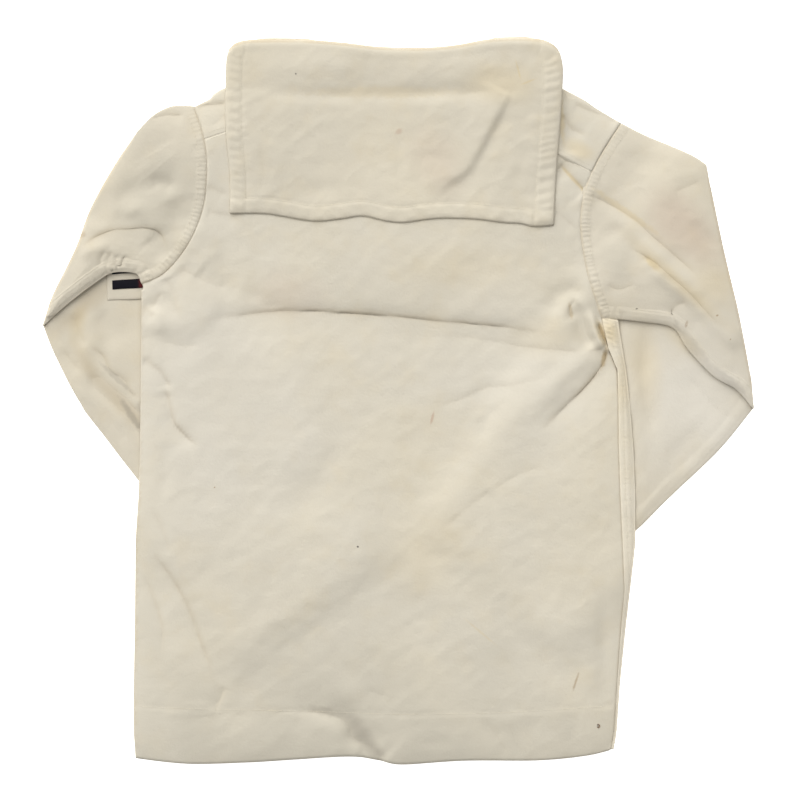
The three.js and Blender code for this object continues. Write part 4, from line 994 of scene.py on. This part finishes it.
def build_sleeve(name, sleeve, armhole, arm_creases, forearm_creases):
    """One flat tube, closed round its section: columns run from the armhole over the elbow's fold to
    the cuff, and rows run over the tube's upper layer and back along its lower one."""
    outward = sleeve.outward
    ends = np.minimum(np.linspace(0, 1, 120), np.linspace(1, 0, 120))
    turned = TURNED_END + (TURNED - TURNED_END) * smooth(ends / 0.12)
    fold = moved(curve(sleeve.fold, 120), outward * turned)
    start = moved(curve(ARMHOLE_LEFT if outward < 0 else ARMHOLE_RIGHT, 120), outward * TUCKED)

    def side(first, points, last):
        return curve([tuple(first), *points, tuple(last)], 120)

    lower = side(start[0], sleeve.lower[1:-1], fold[0])
    upper = side(start[-1], sleeve.upper[1:-1], fold[-1])
    cuff = evenly(np.array([sleeve.underarm[-1], sleeve.overarm[-1]], float), 60)
    underarm = side(fold[0], sleeve.underarm[1:-1], cuff[0])
    overarm = side(fold[-1], sleeve.overarm[1:-1], cuff[-1])

    corner = np.radians([45, 90, 135])
    back_v, front_v = np.linspace(0, 1, BACK_ROWS), np.linspace(1, 0, FRONT_ROWS)
    v = np.concatenate([back_v, [1] * 3, front_v, [0] * 3])
    to_front = np.concatenate([back_v * 0, (1 - np.cos(corner)) / 2, front_v * 0 + 1,
                               (1 + np.cos(corner)) / 2])
    push = np.concatenate([back_v * 0, np.sin(corner), front_v * 0, -np.sin(corner)])

    arm_s, forearm_s = graded(*ARM_COLUMNS), graded(*FOREARM_COLUMNS)
    turns = np.linspace(0, math.pi, 10)[1:-1]
    angle = np.concatenate([arm_s * 0, turns, forearm_s * 0 + math.pi])

    def plan_at(values):
        values = RIM + (1 - 2 * RIM) * values
        arm = patch(lower, upper, start, fold, arm_s, values)
        forearm = patch(underarm, overarm, fold, cuff, forearm_s, values)
        bend = np.repeat(arm[:, -1:], len(turns), axis=1)
        return np.concatenate([arm, bend, forearm], axis=1)

    order = np.argsort(v, kind="stable")
    back_to = np.argsort(order, kind="stable")
    plan = plan_at(v[order])[back_to]
    is_arm = np.broadcast_to(angle == 0, plan.shape[:2])
    hold = smooth(np.minimum(v, 1 - v) / 0.05)[:, None] * np.ones(plan.shape[:2])
    arm_share = np.concatenate([arm_s, turns * 0 + 1, forearm_s * 0])[None, :]
    hold_arm = hold * is_arm * smooth(arm_share / 0.1) * smooth((1 - arm_share) / 0.08)
    forearm_share = np.concatenate([arm_s * 0, turns * 0, forearm_s])[None, :]
    hold_forearm = hold * smooth(forearm_share / 0.05)
    plan = drawn(arm_creases, plan, hold_arm)
    plan = drawn(forearm_creases, plan, hold_forearm)

    ahead = (plan_at(np.clip(np.sort(v) + 0.01, 0, 1))
             - plan_at(np.clip(np.sort(v) - 0.01, 0, 1)))[back_to]
    ahead = ahead / np.linalg.norm(ahead, axis=2)[..., None]
    x, y = plan[..., 0], plan[..., 1]
    sine, cosine = np.sin(angle)[None, :], np.cos(angle)[None, :]
    crown = FOREARM_CROWN * np.sin(math.pi * v)[:, None] * np.sin(np.maximum(angle, 1e-9) / 2)
    crown = crown * (angle > 0)

    ends = smooth(np.minimum(v, 1 - v) / 0.12)[:, None]
    narrow = (TURNED_END + (TURNED - TURNED_END) * ends) / TURNED

    def wall(low, high):
        radius = (high - low) / 2
        return np.dstack([x + ahead[..., 1] * outward * sine * radius * narrow,
                          y - ahead[..., 0] * outward * sine * radius * narrow,
                          (high + low) / 2 + radius * cosine])

    share, off = beside(armhole, x, y)[:2]
    off = -outward * off
    calm = 1 - 0.65 * smooth((share - 0.45) / 0.35)  # the gathers fade towards the shoulder
    height, darkening = creased(arm_creases, x, y)
    lower_share, to_lower = beside(lower, x, y)[:2]
    arm_lift = (height + calm * band_lift(off, share * ARMHOLE_LONG, BAND, 50)
                - TUCK_DROP * smooth((0.3 - off) / 1.3)
                + band_lift(np.abs(to_lower) - 1, lower_share * LOWER_LONG, UNDERARM_BAND, 60))
    darkening = np.maximum(darkening, 0.7 * np.exp(-((off - 0.4) / 1.2) ** 2))
    fore_height, fore_darkening = creased(forearm_creases, x, y)
    under_share, to_under = beside(underarm, x, y)[:2]
    slack = 0.70 * rumple(x, y, 38, 21) + 0.22 * rumple(x, y, 13, 22)
    forearm_lift = (fore_height + slack
                    + 0.75 * band_lift(np.abs(to_under) - 3, under_share * UNDERARM_LONG, 12, 70))
    upper_wall = wall(CLOTH / 2, upper_middle(x, y))
    upper_wall[..., 2] += arm_lift * np.maximum(cosine, 0) ** 2
    lower_wall = wall(FOREARM_HIGH + crown, front_middle(x, y))
    eased = 0.3 * forearm_lift - 1.6  # holds the deepest creases back from the wall below
    lower_wall[..., 2] += np.maximum(forearm_lift, eased) * np.maximum(-cosine, 0) ** 2
    share = to_front[:, None, None]
    grid = upper_wall * (1 - share) + lower_wall * share
    radius = np.linalg.norm(upper_wall - lower_wall, axis=2) / 2
    grid[..., :2] += ahead * (push[:, None] * np.minimum(radius, 1.6))[..., None]
    grid = overhung(arm_creases, grid, hold_arm * (1 - to_front[:, None]))
    grid = overhung(forearm_creases, grid, hold_forearm * to_front[:, None])
    shown = darkening * is_arm * (1 - to_front[:, None]) + fore_darkening * ~is_arm * to_front[:, None]
    # The elbow's fold is painted brown, most where it stands on edge: painted shade where it turns
    # down.
    shown = np.maximum(shown, np.abs(sine))
    grid = np.swapaxes(grid, 0, 1)
    return sewn(name + "_cloth", [grid], flip=outward < 0, dirt_and_shade=[shown.T], closed=True)


SLEEVE_WHITE = (0.600, 0.548, 0.446, 1)
# Painted shade among these spots: those at (-326, 36), (-336, 80), (-290, -4), (-330, 96), (-264,
# -34), (-279, -18), (-296, 23) and (-345, 100), in the forearm's creases and in the pocket under the
# sleeve's lower edge.
LEFT_SPOTS = [Spot(-250, 210, 150, 130, 60, 0.75, GREY), Spot(-336, 172, 20, 9, 10, 0.35, BROWN),
              Spot(-326, 36, 64, 22, -58, 0.28, DIRT_AND_SHADE_BROWN), Spot(-336, 80, 50, 20, 75, 0.30, YELLOW),
              Spot(-290, -4, 90, 19, -46, 0.30, DIRT_AND_SHADE_BROWN), Spot(-330, 96, 90, 22, 40, 0.26, DIRT_AND_SHADE_BROWN),
              Spot(-264, -34, 14, 5, -60, 0.4, BROWN),
              Spot(-279, -18, 56, 9, -57, 0.50, SHADE), Spot(-296, 23, 54, 7, -43, 0.34, SHADE),
              Spot(-302, 152, 60, 26, 20, 0.22, GREY), Spot(-345, 100, 70, 24, 45, 0.25, GREY)]
# Painted shade among these spots: the two shade spots at (309, 58) and (346, 21), on the underside
# that shows along the sleeve's lower edge, and the grey spot at (232, 150) in a hollow of the upper
# arm.
RIGHT_SPOTS = [
    Spot(286, 129, 150, 19, -42, 0.34, YELLOW), Spot(240, 196, 110, 9, -36, 0.34, YELLOW),
    Spot(309, 58, 70, 11, -50, 0.45, SHADE), Spot(346, 21, 60, 10, -38, 0.45, SHADE),
    Spot(302, 79, 9, 3.5, 75, 0.55, BROWN),
    Spot(300, 0, 160, 170, 0, 0.8, PALE), Spot(232, 150, 44, 50, 10, 0.40, GREY),
    Spot(266, 143, 26, 9, -45, 0.45, YELLOW), Spot(334, 88, 3, 2, 20, 0.6, BROWN),
    Spot(348, 63, 3.2, 2, 60, 0.6, BROWN), Spot(250, 95, 3, 2, 10, 0.7, DARK),
    Spot(300, 180, 110, 60, -50, 0.22, RUST), Spot(258, 30, 40, 120, 4, 0.30, YELLOW),
    Spot(330, 120, 60, 50, 0, 0.25, YELLOW), Spot(300, 60, 60, 22, -40, 0.25, YELLOW),
]
sleeve_left = build_sleeve("sleeve_left", SLEEVE_LEFT, ARMHOLES[0], LEFT_ARM_CREASES,
                           LEFT_FOREARM_CREASES)
sleeve_right = build_sleeve("sleeve_right", SLEEVE_RIGHT, ARMHOLES[1], RIGHT_ARM_CREASES,
                            RIGHT_FOREARM_CREASES)
dress(sleeve_left, drill("drill of the left sleeve", SLEEVE_WHITE, LEFT_SPOTS, 0.55),
      "sleeve_left")
dress(sleeve_right, drill("drill of the right sleeve", SLEEVE_WHITE, RIGHT_SPOTS, 0.55),
      "sleeve_right")

# Collar
# The sailor collar is two plies of drill, sewn round its edge and turned, with one row of stitches
# set well in. Its flap hangs square down the back; at the top it rolls over and narrows to the
# lapels, which lie on the table under the front.
COLLAR_WALL = 1.6
COLLAR_LEVEL = 1.5 * CLOTH + LIE_GAP + PUFF + 1.6  # middle of the flap over what is under the front
ROLL_REACH = 8.0
SIDE_BAND_LEFT, SIDE_BAND_RIGHT, FOOT_BAND = 16.0, 20.0, 15.5
LAPEL_HALF = 9.0
LAPEL_FOOT = (2, 142)
FLAP_WIDE, FLAP_TALL = 344, 184
TOP_LONG, HEM_LONG = 350, 180  # rough lengths of the top and of a hemmed side
CORNER_REACH = 9.0  # the top line meets the side lines within this
FLAP_LEFT = [(-176, 195), (-176.4, 238), (-179.8, 272.5), (-180.6, 310), (-179.8, 353), (-176.4, 368)]
FLAP_FOOT = [(-176, 195), (-141, 195), (-120, 192), (-87, 187), (-58, 189.5), (-37, 192.3),
             (-12.6, 187), (6, 185.5), (28, 188.5), (49, 190), (81, 189), (111, 185.5),
             (129, 184.3), (142, 181.5), (163, 182.8)]
FLAP_RIGHT = [(163, 182.8), (165.8, 238), (169.8, 291), (172.2, 331.5), (172.2, 350), (169, 364)]
FLAP_TOP = [(-176.4, 368), (-169, 374.3), (-151, 377.5), (-101, 377.5), (-58, 374.3), (-21, 370.1),
            (25, 369.1), (60, 371.7), (92.4, 377.5), (113.4, 379), (146, 378.5), (162.8, 372.2),
            (169, 364)]
PEEKS = [(-157, -80), (92, 146)]  # where the under ply shows past the roll
PEEK = 2.6
ROLL_STEPS, LAPEL_STEPS = 14, 14
HEM_GATHERS, BEYOND_GATHERS = 9.8, 11  # pitch within a hemmed side, and past its row
COLLAR_CREASES = [
    Crease(1.5, 17, 15, 0, [(-160, 352), (-60, 350), (40, 350), (140, 354)], 0.25, 0.25),
    Crease(-2.1, 9, 8, 0, [(-165, 328), (-120, 321), (-43, 319), (34, 321), (110, 325)], 0.22, 0.22),
    Crease(2.3, 20, 5, 0,
           [(33, 208), (49, 227), (68, 240), (81, 259), (97, 289), (115, 323)], 0.30, 0.04),
    Crease(-1.5, 6, 10, 0,
           [(46, 205), (64, 224), (80, 238), (92, 260), (107, 289), (121, 316)], 0.25, 0.15),
    Crease(-0.6, 7, 7, 0, [(0, 290), (2, 250), (1, 212)]),
    Crease(-0.7, 6, 9, 0.2, [(-150, 210), (-140, 238), (-144, 270)]),
    Crease(-0.8, 5, 9, 0.2, [(56, 318), (84, 322), (108, 324)]),
    Crease(-0.8, 9, 13, 0, [(-120, 212), (-70, 222), (-20, 216)]),
    Crease(-0.6, 7, 11, 0, [(-152, 232), (-140, 262), (-150, 296)]),
    Crease(-0.6, 7, 10, 0, [(120, 214), (128, 244), (142, 270)]),
]


def hemmed(off, along, band, seed):
    """One hemmed side of the collar, off from its edge: the turned plies, the row and its gathers."""
    thick = 0.40 * smooth((band + 0.6 - off) / 1.4) - 1.0 * np.exp(-off / 1.7)
    row = -0.35 * np.exp(-((off - band) / 1.2) ** 2)
    inside = smooth((off - 1) / 4) * smooth((band - off) / 4)
    gathers = 0.85 * puckers(along + 0.3 * off, HEM_GATHERS, seed) * inside
    past_row = np.exp(-((off - band - 4) / 5) ** 2)
    beyond = 0.28 * puckers(along - 0.2 * off, BEYOND_GATHERS, seed + 4) * past_row
    return thick + row + gathers + beyond


def build_collar():
    """The flap, and the under ply: the roll at the top, dirty from wear, and the lapels below."""
    left, right, foot = curve(FLAP_LEFT, 120), curve(FLAP_RIGHT, 120), curve(FLAP_FOOT, 200)
    edge = curve(FLAP_TOP, 240)
    top = edge - [0, ROLL_REACH]
    for side, end, gone in ((left, 0, np.linspace(0, TOP_LONG, 240)),
                            (right, -1, np.linspace(TOP_LONG, 0, 240))):
        side_x = np.interp(top[end, 1], side[:, 1], side[:, 0])
        top[:, 0] += (side_x - top[end, 0]) * np.exp(-gone / CORNER_REACH)
    west = joined(left[left[:, 1] < top[0, 1] - 1], top[:1])
    east = joined(right[right[:, 1] < top[-1, 1] - 1], top[-1:])
    u, v = shares(FLAP_WIDE, 1.9), shares(FLAP_TALL, 2.1)
    plan = patch(foot, top, west, east, u, v)
    hold = held(*plan.shape[:2])
    x, y = plan[..., 0], plan[..., 1]
    height, darkening = creased(COLLAR_CREASES, x, y)
    slack = (0.55 * rumple(x, y, 70, 31) + 0.30 * rumple(x, y * 1.3, 26, 32)
             + 0.10 * rumple(x, y, 11, 33)) * hold
    swell = swells(x, y)
    z = support(x, y) + COLLAR_LEVEL + np.maximum(swell, 0.5 * swell) + height + slack
    for line, band, seed in ((left, SIDE_BAND_LEFT, 80), (right, SIDE_BAND_RIGHT, 84),
                             (foot, FOOT_BAND, 88)):
        share, off = beside(line, x, y)[:2]
        z = z + hemmed(np.abs(off), share * HEM_LONG, band, seed)
    flap = np.dstack([plan, z])

    base, places = flap[-1], on(edge, u)
    half_wall = COLLAR_WALL / 2
    high = base[:, 2]
    radius = (high - half_wall) / 2
    peek = np.zeros(len(u))
    for start, end in PEEKS:
        inside = (places[:, 0] - start) / (end - start)
        peek = peek + PEEK * smooth(inside * 5) * smooth((1 - inside) * 5)
    rows = []
    for angle in np.radians(np.linspace(0, 180, ROLL_STEPS + 1))[1:]:
        reach = (ROLL_REACH - half_wall) * math.sin(angle)
        under = smooth((angle - math.radians(96)) / 0.5) * math.sin(angle) ** 0.5
        swing = math.sin(min(angle, math.pi / 2))
        x = base[:, 0] + (places[:, 0] - base[:, 0]) * swing
        rows.append(np.stack([x, base[:, 1] + reach + peek * under,
                              half_wall + radius + radius * math.cos(angle)], axis=1))
    tips = LAPEL_FOOT[0] + (u - 0.5) * 2 * LAPEL_HALF
    last = rows[-1]
    for share in np.linspace(0, 1, LAPEL_STEPS + 1)[1:]:
        rows.append(np.stack([last[:, 0] + (tips - last[:, 0]) * share,
                              last[:, 1] + (LAPEL_FOOT[1] - last[:, 1]) * share, last[:, 2]], axis=1))
    under = np.stack([base, *rows])
    dirt_under = np.zeros(under.shape[:2])
    dirt_under[3:ROLL_STEPS] = 0.9
    return sewn("collar_cloth", [flap, under], wall=COLLAR_WALL, dirt_and_shade=[darkening, dirt_under])


# The brown spots at (-118, 380) and (119, 382) are painted shade on the under ply where it shows past
# the roll.
COLLAR_SPOTS = [
    Spot(126, 345, 26, 2.6, 105, 0.45, YELLOW), Spot(137, 333, 22, 2.6, 22, 0.45, YELLOW),
    Spot(1, 281, 11, 7, 30, 0.30, RUST), Spot(-107, 341, 2.4, 2.4, 0, 0.85, DARK),
    Spot(-20, 322, 190, 16, 0, 0.22, YELLOW), Spot(110, 330, 90, 50, 0, 0.30, YELLOW),
    Spot(-118, 380, 80, 6, 0, 0.5, BROWN), Spot(119, 382, 56, 6, 0, 0.5, BROWN),
    Spot(-100, 270, 120, 90, 0, 0.12, GREY), Spot(40, 250, 60, 90, 30, 0.12, RUST),
]
COLLAR_WHITE = (0.606, 0.556, 0.452, 1)
collar = build_collar()
dress(collar, drill("drill of the collar", COLLAR_WHITE, COLLAR_SPOTS, 0.6), "collar")

# Sleeve mark
# A white ground with two dark diagonal stripes is sewn to the left sleeve, and the folded forearm
# brings it to the body's edge. The stripes are woven tape, and their ends are turned under.
MARK_AT = (-305, 104)
MARK_SIZE = (84, 50)
MARK_TILT = math.radians(2)
MARK_WALL = 0.6
STRIPE_SIZE = (76, 9.5)
STRIPE_INSET, STRIPE_FIRST, STRIPE_PITCH = 6, 11, 15.9
MARK_HEIGHT = 4.4  # middle of the ground over the table
TAPE_RIB = 0.0007  # from rib to rib
NAVY = (0.0080, 0.0072, 0.0110, 1)
WORN_RED = (0.16, 0.022, 0.020, 1)


def strip_of(name, x, y, size, lift, bow):
    """A flat strip on the forearm, whose long sides bow a little."""
    u, v = shares(size[0], 1.6), shares(size[1], 1.2)
    across, up = np.meshgrid(u * size[0], v * size[1])
    share = across / size[0]
    up = up + bow * np.sin(math.pi * share) + 0.35 * rumple(across, up, 14, 90)
    px = MARK_AT[0] + (x + across) * math.cos(MARK_TILT) - (y + up) * math.sin(MARK_TILT)
    py = MARK_AT[1] + (x + across) * math.sin(MARK_TILT) + (y + up) * math.cos(MARK_TILT)
    edge = np.minimum(np.minimum(across, size[0] - across), np.minimum(up - up.min(), up.max() - up))
    pz = MARK_HEIGHT + lift + 0.25 * rumple(px, py, 12, 91) - 0.7 * np.exp(-np.abs(edge) / 1.6)
    return sewn(name + "_cloth", [np.dstack([px, py, pz])], wall=MARK_WALL)


def tape(name):
    """Navy tape with a fine rib, worn red at its outer end."""
    material, place, feed = finish(name, Specular_IOR_Level=0.08)
    across, along = cloth_sides(place)
    noise = place.clouds(420, 3)
    worn = (along * 1000).rise(8.0, 10.5) * noise.rise(0.35, 0.6) * 0.10
    worn = worn + (across * 1000).rise(26, 30) * noise.rise(0.2, 0.5) * 0.6
    feed("Base Color", worn.maths("MINIMUM", 1).mixed(NAVY, WORN_RED))
    feed("Normal", (across * (2 * math.pi / TAPE_RIB)).maths("SINE").bump(0.5, 0.00008))
    feed("Roughness", noise * 0.2 + 0.5)
    return material


mark_ground = strip_of("mark_ground", 0, 0, MARK_SIZE, 0, 0)
dress(mark_ground, drill("drill of the mark", SLEEVE_WHITE), "mark_ground")
navy_tape = tape("navy tape")
for number in (1, 2):
    stripe = strip_of(f"mark_stripe_{number}", STRIPE_INSET,
                      STRIPE_FIRST + (number - 1) * STRIPE_PITCH, STRIPE_SIZE, 1.0, 1.0)
    dress(stripe, navy_tape, f"mark_stripe_{number}")

# Eyelet
# A small eyelet is worked in cotton thread near the hem's right end, and has gone brown. The ring
# is sewn over and over through the hem, and the shade in its hole is a dark spot painted on the back.
EYELET_AT = (209.6, -342.3)
EYELET_RADIUS, EYELET_CORD, EYELET_SINK = 1.7, 0.6, 0.2
EYELET_TILT = math.radians(14)


def eyelet_thread():
    """Brown thread with dark patches."""
    material, place, feed = finish("brown thread", Roughness=0.6)
    feed("Base Color", place.clouds(900, 2).rise(0.35, 0.65).mixed(BROWN, DARK))
    return material


def upper_face(piece):
    """A test that gives the place on a piece's upper face at x and y, or None beside the piece."""
    tree = BVHTree.FromObject(piece, bpy.context.evaluated_depsgraph_get())
    return lambda x, y: tree.ray_cast(Vector((x * MM, y * MM, 0.1)), Vector((0, 0, -1)))[0]


def build_eyelet():
    """The ring of thread, sunk a little in the back's upper face and tilted."""
    around, across = np.radians(np.arange(0, 360, 12)), np.radians(np.arange(0, 360, 30))
    x, y = EYELET_AT
    level = upper_face(back)(x, y).z / MM - EYELET_SINK
    turn, lay = np.meshgrid(around, across, indexing="ij")
    reach = EYELET_RADIUS + EYELET_CORD * np.cos(lay)
    px, py = reach * np.cos(turn), reach * np.sin(turn)
    pz = level + EYELET_CORD * np.sin(lay) + px * math.sin(EYELET_TILT)
    ring = np.stack([x + px, y + py, pz], axis=-1).reshape(-1, 3)
    rows, columns = turn.shape
    faces = [(i * columns + j, (i + 1) % rows * columns + j,
              (i + 1) % rows * columns + (j + 1) % columns, i * columns + (j + 1) % columns)
             for i in range(rows) for j in range(columns)]
    mesh = bpy.data.meshes.new("eyelet")
    mesh.from_pydata((ring * MM).tolist(), [], faces)
    mesh.polygons.foreach_set("use_smooth", [True] * len(faces))
    mesh.materials.append(eyelet_thread())
    return placed("eyelet", mesh)


eyelet = build_eyelet()
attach(eyelet, "root")

# Stitching
# Cotton thread, sewn by machine: one row along the hems of the collar and the body and along each
# underarm, and two or more along the other felled seams. Most rows lie in the groove they pull.
STITCH_PITCH, STITCH_LENGTH, STITCH_WIDTH = 2.9, 2.1, 0.55
LEAST, MOST = 0.82, 1.08  # uneven stitches, as shares of their size
ROW_STEP = 0.9  # between the places at which a row is laid on the cloth
PROUD = 0.1
THREAD = (0.640, 0.600, 0.500, 1)


def sewing_rows():
    """The piece that each row lies on, and its line from above."""
    flap_left, flap_right, foot = curve(FLAP_LEFT), curve(FLAP_RIGHT), curve(FLAP_FOOT)
    rows = [(collar, moved(flap_left, -SIDE_BAND_LEFT)[6:-4]),
            (collar, moved(flap_right, SIDE_BAND_RIGHT)[5:-4]),
            (collar, moved(foot, FOOT_BAND)[3:-3]),
            (back, curve(HEM_ROW)[1:-2]),
            (back, moved(ARMHOLES[0], 1.6)[1:-6]),
            (back, moved(curve(YOKE_SEAM), -1.8)[1:-1]),
            (yoke, moved(curve(YOKE_SEAM), 5.0)[1:-1])]
    for sleeve, line, side in ((sleeve_left, ARMHOLES[0], 1), (sleeve_right, ARMHOLES[1], -1)):
        for off in (1.7, BAND - 1.0):
            rows.append((sleeve, moved(line, side * off)[1:-1]))
        shape = SLEEVE_LEFT if side > 0 else SLEEVE_RIGHT
        lower = curve(shape.lower)
        rows.append((sleeve, moved(lower, -side * (UNDERARM_BAND + 1))[10:-4]))
    for off in STRIP_ROWS:
        rows.append((front, edge_line(side_seam, -330, 70, off)))
    return rows


def laid_on(piece, line):
    """The line's places on the piece's upper face, and None where it misses it."""
    face_at = upper_face(piece)
    length = np.hypot(*np.diff(line, axis=0).T).sum()
    hits = [face_at(x, y) for x, y in evenly(line, max(2, round(length / ROW_STEP)))]
    return [None if hit is None else hit + Vector((0, 0, PROUD * MM)) for hit in hits]


def stitch_group(thread):
    """Running stitches along the edges of a mesh."""
    group = bpy.data.node_groups.new("stitches along rows", "GeometryNodeTree")
    face = group.interface
    face.new_socket("Rows", in_out="INPUT", socket_type="NodeSocketGeometry")
    for name in ("Pitch", "Length", "Width"):
        face.new_socket(name, in_out="INPUT", socket_type="NodeSocketFloat")
    face.new_socket("Seed", in_out="INPUT", socket_type="NodeSocketInt")
    face.new_socket("Stitches", in_out="OUTPUT", socket_type="NodeSocketGeometry")

    def add(kind, fed=None, fixed=None, **settings):
        """Adds a node: its settings, its fixed inputs, and the sockets that feed the others."""
        made = group.nodes.new(kind)
        for name, value in settings.items():
            setattr(made, name, value)
        for name, value in (fixed or {}).items():
            made.inputs[name].default_value = value
        for name, source in (fed or {}).items():
            group.links.new(source, made.inputs[name])
        return made.outputs

    given = add("NodeGroupInput")
    rows = add("GeometryNodeMeshToCurve", {"Mesh": given["Rows"]})
    spaced = add("GeometryNodeResampleCurve", {"Curve": rows["Curve"], "Length": given["Pitch"]},
                 mode="LENGTH")
    bead = add("GeometryNodeMeshUVSphere", {}, {"Segments": 6, "Rings": 4, "Radius": 0.5})
    size = add("ShaderNodeCombineXYZ",
               {"X": given["Length"], "Y": given["Width"], "Z": given["Width"]})
    shaped = add("GeometryNodeTransform", {"Geometry": bead["Mesh"], "Scale": size["Vector"]})
    tangent = add("GeometryNodeInputTangent")
    turned = add("FunctionNodeAlignRotationToVector", {"Vector": tangent["Tangent"]}, axis="X")
    uneven = add("FunctionNodeRandomValue", {"Seed": given["Seed"]}, {2: LEAST, 3: MOST},
                 data_type="FLOAT")
    beads = add("GeometryNodeInstanceOnPoints",
                {"Points": spaced["Curve"], "Instance": shaped["Geometry"],
                 "Rotation": turned["Rotation"], "Scale": uneven[1]})
    real = add("GeometryNodeRealizeInstances", {"Geometry": beads["Instances"]})
    dyed = add("GeometryNodeSetMaterial", {"Geometry": real["Geometry"]}, {"Material": thread})
    add("NodeGroupOutput", {"Stitches": dyed["Geometry"]})
    return group


def cotton_thread():
    """Washed thread, yellowed in places, with the twist of its yarn."""
    material, place, feed = finish("cotton thread", Roughness=0.8)
    feed("Base Color", place.clouds(60, 3).rise(0.35, 0.75).mixed(THREAD, WARM))
    feed("Normal", place.clouds(3000, 1).bump(0.4, 0.0001))
    return material


def build_stitching():
    """One plain mesh with every stitch."""
    places, steps = [], []
    for piece, line in sewing_rows():
        before = None
        for place in laid_on(piece, line):
            if place is not None:
                places.append(place)
                if before is not None:
                    steps.append((before, len(places) - 1))
            before = None if place is None else len(places) - 1
    mesh = bpy.data.meshes.new("stitch rows")
    mesh.from_pydata([tuple(place) for place in places], steps, [])
    piece = placed("stitching", mesh)
    group = stitch_group(cotton_thread())
    sewn_on = piece.modifiers.new("stitches", "NODES")
    sewn_on.node_group = group
    wanted = {"Pitch": STITCH_PITCH * MM, "Length": STITCH_LENGTH * MM, "Width": STITCH_WIDTH * MM,
              "Seed": 5}
    for item in group.interface.items_tree:
        if item.in_out == "INPUT" and item.name in wanted:
            sewn_on[item.identifier] = wanted[item.name]
    depsgraph = bpy.context.evaluated_depsgraph_get()
    plain = bpy.data.meshes.new_from_object(piece.evaluated_get(depsgraph))
    piece.modifiers.clear()
    piece.data = plain
    return piece


stitching = build_stitching()
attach(stitching, "root")
